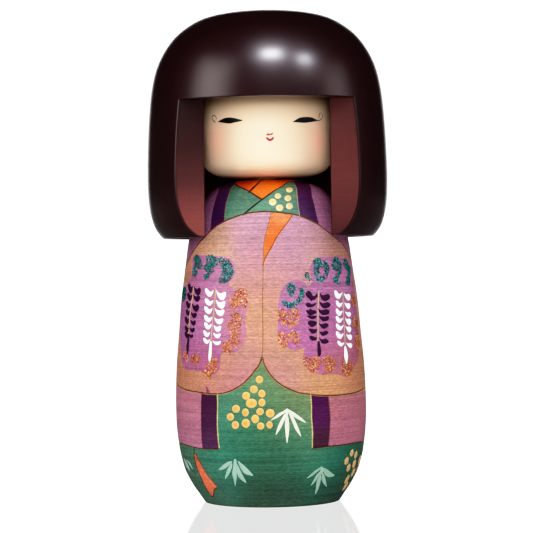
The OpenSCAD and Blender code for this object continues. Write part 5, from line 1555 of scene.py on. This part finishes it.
# inside: full ring above the cut, fillet, ceiling, socket
al_k = low_ang[-1][0]
inner_arc = np.linspace(-al_k, al_k, N_FR + 1)
ring_in = low_rows[-1] + [on_lathe(HOLLOW_R, FRINGE_Z, -1, 0, t) for t in inner_arc[1:-1]]
arc_ids = [low_rows[-1][-1]] + ring_in[N_LOW + 1:] + [low_rows[-1][0]]
loop = [c[-1] for c in fr_cols]                                    # left to right along the front edge
loop += concave[1][1:]                                            # along the right corner line
loop += strip_edges[1][-1][::-1][1:]                              # round the inner bevel to the wall
loop += arc_ids[::-1][1:]                                         # back along the inner wall
loop += strip_edges[-1][-1][1:]                                   # left bevel
loop += concave[-1][::-1][1:-1]
fill_loop(loop, (0, 1), 2, FRINGE_Z, 1.3, "under")
prev, prev_ang = ring_in, list(low_ang[-1]) + list(2 * math.pi + inner_arc[1:-1])
inside_rows = [(HOLLOW_R - 1.5 + 1.5 * math.cos(math.radians(a)), CEIL_Z - 1.5 + 1.5 * math.sin(math.radians(a)),
                -math.cos(math.radians(a)), -math.sin(math.radians(a)), "inner") for a in (18, 36, 54, 72, 90)]
inside_rows += [(26.0, CEIL_Z, 0, -1, "top_in"), (SOCKET_R, CEIL_Z, 0, -1, "top_in")]
for r, z, nr, nz, part in inside_rows:
    ids = [on_lathe(r, z, nr, nz, t) for t in prev_ang]
    for c in range(len(ids)):
        c2 = (c + 1) % len(ids)
        quad(prev[c], ids[c], ids[c2], prev[c2], part)
    prev = ids
ids = [on_lathe(SOCKET_R, SOCKET_Z, -1, 0, t) for t in prev_ang]
for i in prev:
    special[("socket", i)] = (-HV[i][0] / SOCKET_R, -HV[i][1] / SOCKET_R, 0)
for c in range(len(ids)):
    c2 = (c + 1) % len(ids)
    quad(prev[c], ids[c], ids[c2], prev[c2], "socket")
cap = hv((0, 0, SOCKET_Z), (0, 0, -1))
for i in ids:
    special[("cap", i)] = (0, 0, -1)
for c in range(len(ids)):
    HF.append((ids[c], ids[(c + 1) % len(ids)], cap))
    HP.append("cap")

HVa = np.array(HV)
ln, final = [], []
for q, part in zip(HF, HP):
    ns = [PART_N.get(part) or special.get((part, i)) or HN[i] for i in q]
    p = HVa[list(q)]
    g = np.cross(p[1] - p[0], p[2] - p[0])
    if len(q) == 4:
        g = g + np.cross(p[2] - p[0], p[3] - p[0])
    if float(np.dot(g, np.sum(np.array(ns), axis=0))) < 0:
        q, ns = q[::-1], ns[::-1]
    final.append(q)
    ln += ns
ec = {}
for q in final:
    for k in range(len(q)):
        e = (q[k], q[(k + 1) % len(q)])
        ec[e] = ec.get(e, 0) + 1
bad = [e for e, n in ec.items() if n != 1 or ec.get((e[1], e[0])) != 1]
print("hair: faces", len(final), "unpaired edges", len(bad))


def lacquer(name, base, rough, coat, coat_rough, spec):
    m, t, b = new_mat(name, base=(*lin(base), 1), rough=rough, coat=coat, coat_rough=coat_rough, spec=spec)
    b.inputs["Specular Tint"].default_value = (1.0, 0.84, 0.87, 1.0)
    return m


mat_hair = lacquer("hair_lacquer", (28, 6, 8), 0.32, 0.25, 0.2, 0.45)
mat_sawn = grain_material("hair_sawn", 0.10, 0.15, 0.42, 0.0, spec=0.3)
mat_in = lacquer("hair_inside", (46, 14, 14), 0.5, 0.0, 0.2, 0.4)
# stained saw cuts with painted shade and light: dark under the fringe, on the left lighter and redder towards the tips,
# on the right lightest at mid height
zc, xc = HVa[:, 2], HVa[:, 0]
tz_ = np.clip((FRINGE_Z - zc) / (FRINGE_Z - RIM_Z), 0, 1)
def stops(t, table):
    x = [q[0] for q in table]
    c = np.array([lin(q[1]) for q in table])
    return np.stack([np.interp(t, x, c[:, i]) for i in range(3)], 1)


strip_l_shading = stops(tz_, [(0, (30, 8, 8)), (0.35, (43, 11, 11)), (0.6, (64, 22, 21)), (0.85, (102, 42, 38)), (1, (106, 47, 43))])
strip_r_shading = stops(tz_, [(0, (56, 13, 12)), (0.3, (72, 20, 18)), (0.6, (78, 26, 25)), (0.85, (70, 22, 22)), (1, (56, 13, 14))])
strip_shading_col = np.where((xc < 0)[:, None], strip_l_shading, strip_r_shading)
hair_obj = make_object("bob_hair", HV, final, mat_hair, True, ln, strip_shading_col)
hair_obj.data.materials.append(mat_sawn)
hair_obj.data.materials.append(mat_in)
mi = {"outer": 0, "bevel": 0, "bevel_u": 0, "strip": 1, "under": 1}
hair_obj.data.polygons.foreach_set("material_index", [mi.get(p, 2) for p in HP])
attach(hair_obj, "head")
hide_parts("hair")


# ------------------------------------------------------------------ floor, light, camera
scene = bpy.context.scene
scene.view_settings.view_transform = "Standard"
scene.view_settings.look = "None"
# a print-like tone curve: deep darks, soft shoulder
vs = scene.view_settings
vs.use_curve_mapping = True
cm = vs.curve_mapping
cm.white_level = (1.6, 1.6, 1.6)
cu = cm.curves[3]
TONE = [(0.012, 0.005), (0.035, 0.024), (0.075, 0.068), (0.15, 0.155), (0.28, 0.31), (0.45, 0.505), (0.65, 0.70),
        (0.85, 0.845), (1.1, 0.94), (1.35, 0.985)]
for a, b in TONE:
    cu.points.new(a / 1.6, b)
cm.update()


def area_light(name, loc, target, size, power, size_y=None, colour=(1, 1, 1)):
    l = bpy.data.lights.new(name, "AREA")
    l.shape = "RECTANGLE" if size_y else "DISK"
    l.size = size
    if size_y:
        l.size_y = size_y
    l.energy = power
    l.color = colour
    o = bpy.data.objects.new(name, l)
    o.location = loc
    d = Vector(target) - Vector(loc)
    o.rotation_euler = d.to_track_quat("-Z", "Y").to_euler()
    scene.collection.objects.link(o)
    return o


# floor: a bright white sweep that mirrors the doll faintly
bpy.ops.mesh.primitive_plane_add(size=6.0, location=(0, 1.5, -0.0002))
floor = bpy.context.object
floor.name = "floor"
fm = bpy.data.materials.new("floor_white")
fm.use_nodes = True
ft = fm.node_tree
ft.nodes.clear()
fo = node(ft, "ShaderNodeOutputMaterial")
fa = node(ft, "ShaderNodeAddShader")
fe = node(ft, "ShaderNodeEmission")
fe.inputs["Color"].default_value = (1, 1, 1, 1)
fe.inputs["Strength"].default_value = 0.72
fe2 = node(ft, "ShaderNodeEmission")
fe2.inputs["Color"].default_value = (1, 1, 1, 1)
fe2.inputs["Strength"].default_value = 0.62
fe3 = node(ft, "ShaderNodeEmission")
fe3.inputs["Color"].default_value = (1, 1, 1, 1)
fe3.inputs["Strength"].default_value = 0.10
fmx = node(ft, "ShaderNodeMixShader")
fmy = node(ft, "ShaderNodeMixShader")
flp = node(ft, "ShaderNodeLightPath")
ft.links.new(flp.outputs["Is Camera Ray"], fmx.inputs["Fac"])
ft.links.new(flp.outputs["Is Glossy Ray"], fmy.inputs["Fac"])
fg = node(ft, "ShaderNodeBsdfGlossy")
fg.inputs["Color"].default_value = (0.25, 0.25, 0.25, 1)
fg.inputs["Roughness"].default_value = 0.06
ft.links.new(fe2.outputs[0], fmy.inputs[1])
ft.links.new(fe3.outputs[0], fmy.inputs[2])
ft.links.new(fmy.outputs[0], fmx.inputs[1])
ft.links.new(fe.outputs[0], fmx.inputs[2])
ft.links.new(fmx.outputs[0], fa.inputs[0])
ft.links.new(fg.outputs[0], fa.inputs[1])
ft.links.new(fa.outputs[0], fo.inputs["Surface"])
floor.data.materials.append(fm)

# surroundings: white behind, dark in front
w = bpy.data.worlds.new("studio")
scene.world = w
w.use_nodes = True
wt = w.node_tree
wt.nodes.clear()
wo = node(wt, "ShaderNodeOutputWorld")
bg1 = node(wt, "ShaderNodeBackground")
bg1.inputs["Color"].default_value = (1, 1, 1, 1)
bg1.inputs["Strength"].default_value = 1.8
bg2 = node(wt, "ShaderNodeBackground")
bg2.inputs["Color"].default_value = (1, 1, 1, 1)
lp = node(wt, "ShaderNodeLightPath")
tc = node(wt, "ShaderNodeTexCoord")
sep = node(wt, "ShaderNodeSeparateXYZ")
wt.links.new(tc.outputs["Generated"], sep.inputs[0])
mr = node(wt, "ShaderNodeMapRange")
mr.inputs["From Min"].default_value = 0.93
mr.inputs["From Max"].default_value = 0.985
mr.inputs["To Min"].default_value = 0.012
mr.inputs["To Max"].default_value = 3.9
wt.links.new(sep.outputs["Y"], mr.inputs["Value"])
wt.links.new(mr.outputs["Result"], bg2.inputs["Strength"])
bg3 = node(wt, "ShaderNodeBackground")
bg3.inputs["Color"].default_value = (1, 1, 1, 1)
bg3.inputs["Strength"].default_value = 0.16
mx = node(wt, "ShaderNodeMixShader")
my = node(wt, "ShaderNodeMixShader")
wt.links.new(lp.outputs["Is Glossy Ray"], my.inputs["Fac"])
wt.links.new(bg3.outputs[0], my.inputs[1])
wt.links.new(bg2.outputs[0], my.inputs[2])
wt.links.new(lp.outputs["Is Camera Ray"], mx.inputs["Fac"])
wt.links.new(my.outputs[0], mx.inputs[1])
wt.links.new(bg1.outputs[0], mx.inputs[2])
wt.links.new(mx.outputs[0], wo.inputs["Surface"])

def aimed(name, az, el, dist, target, width, height, radiance, colour=(1, 1, 1)):
    a, e = math.radians(az), math.radians(el)
    t = Vector(target)
    loc = t + dist * Vector((math.sin(a) * math.cos(e), -math.cos(a) * math.cos(e), math.sin(e)))
    return area_light(name, loc, t, width, radiance * math.pi * width * height, height, colour)


# each soft box is three nested panes, brighter towards the middle, so its reflection has no hard border
SOFT = ((1.0, 0.22), (0.72, 0.38), (0.42, 0.40))
for name, az, el, dist, target, width, height, radiance, tint in (
        ("key_top", 7, 48, 0.85, (0, 0, 0.135), 0.30, 0.21, 68.0, (0.90, 1.0, 1.08)),
        ("spark_right", 45, 38.5, 0.85, (0, 0, 0.135), 0.22, 0.20, 40.0, (0.90, 1.0, 1.06)),
        ("window_left", -56, 19, 0.9, (0, 0, 0.12), 0.74, 0.84, 4.0, (1.0, 0.98, 0.97)),
        ("window_right", 73, 14, 0.9, (0, 0, 0.12), 0.56, 0.60, 1.9, (1.0, 0.97, 0.96))):
    for q, (size, part) in enumerate(SOFT):
        pane = aimed(name + "_" + str(q), az, el, dist - 0.004 * q, target, width * size, height * size, radiance * part, tint)
        if q and name in ("key_top", "spark_right"):
            pane.visible_diffuse = False
for side, az in (("left", -15), ("right", 15)):
    fill = aimed("front_fill_" + side, az, 17, 0.95, (0, 0, 0.10), 0.24, 0.62, 1.3)
    fill.visible_glossy = False
low = aimed("front_low", 0, 4, 0.9, (0, 0, 0.11), 0.40, 0.20, 17.3)
low.visible_glossy = False
# a small soft box with a honeycomb grid, aimed at the head only
face_box = aimed("face_box", 0, 3, 0.5, (0, 0, 0.124), 0.11, 0.05, 0.36)
face_box.data.spread = math.radians(8)
face_box.visible_glossy = False
for name, az, el, power in (("back_fill", 180, 24, 2.6), ("back_left", -128, 18, 1.5), ("back_right", 128, 18, 1.5)):
    back_light = aimed(name, az, el, 1.0, (0, 0, 0.08), 0.7, 0.6, power)
    back_light.visible_glossy = False


rho = 0.0157
cam_data = bpy.data.cameras.new("camera")
cam_data.lens = 2054.0 * 36.0 / 533.0
cam_data.sensor_width = 36.0
cam_data.clip_start = 0.05
cam_data.clip_end = 20
cam = bpy.data.objects.new("camera", cam_data)
right = Vector((math.cos(rho), 0, -math.sin(rho)))
up = Vector((math.sin(rho), 0, math.cos(rho)))
rot = Matrix((right, up, Vector((0, -1, 0)))).transposed()
cam.matrix_world = Matrix.Translation(Vector((-0.00076, -0.6533, 0.0742))) @ rot.to_4x4()
scene.collection.objects.link(cam)
scene.camera = cam
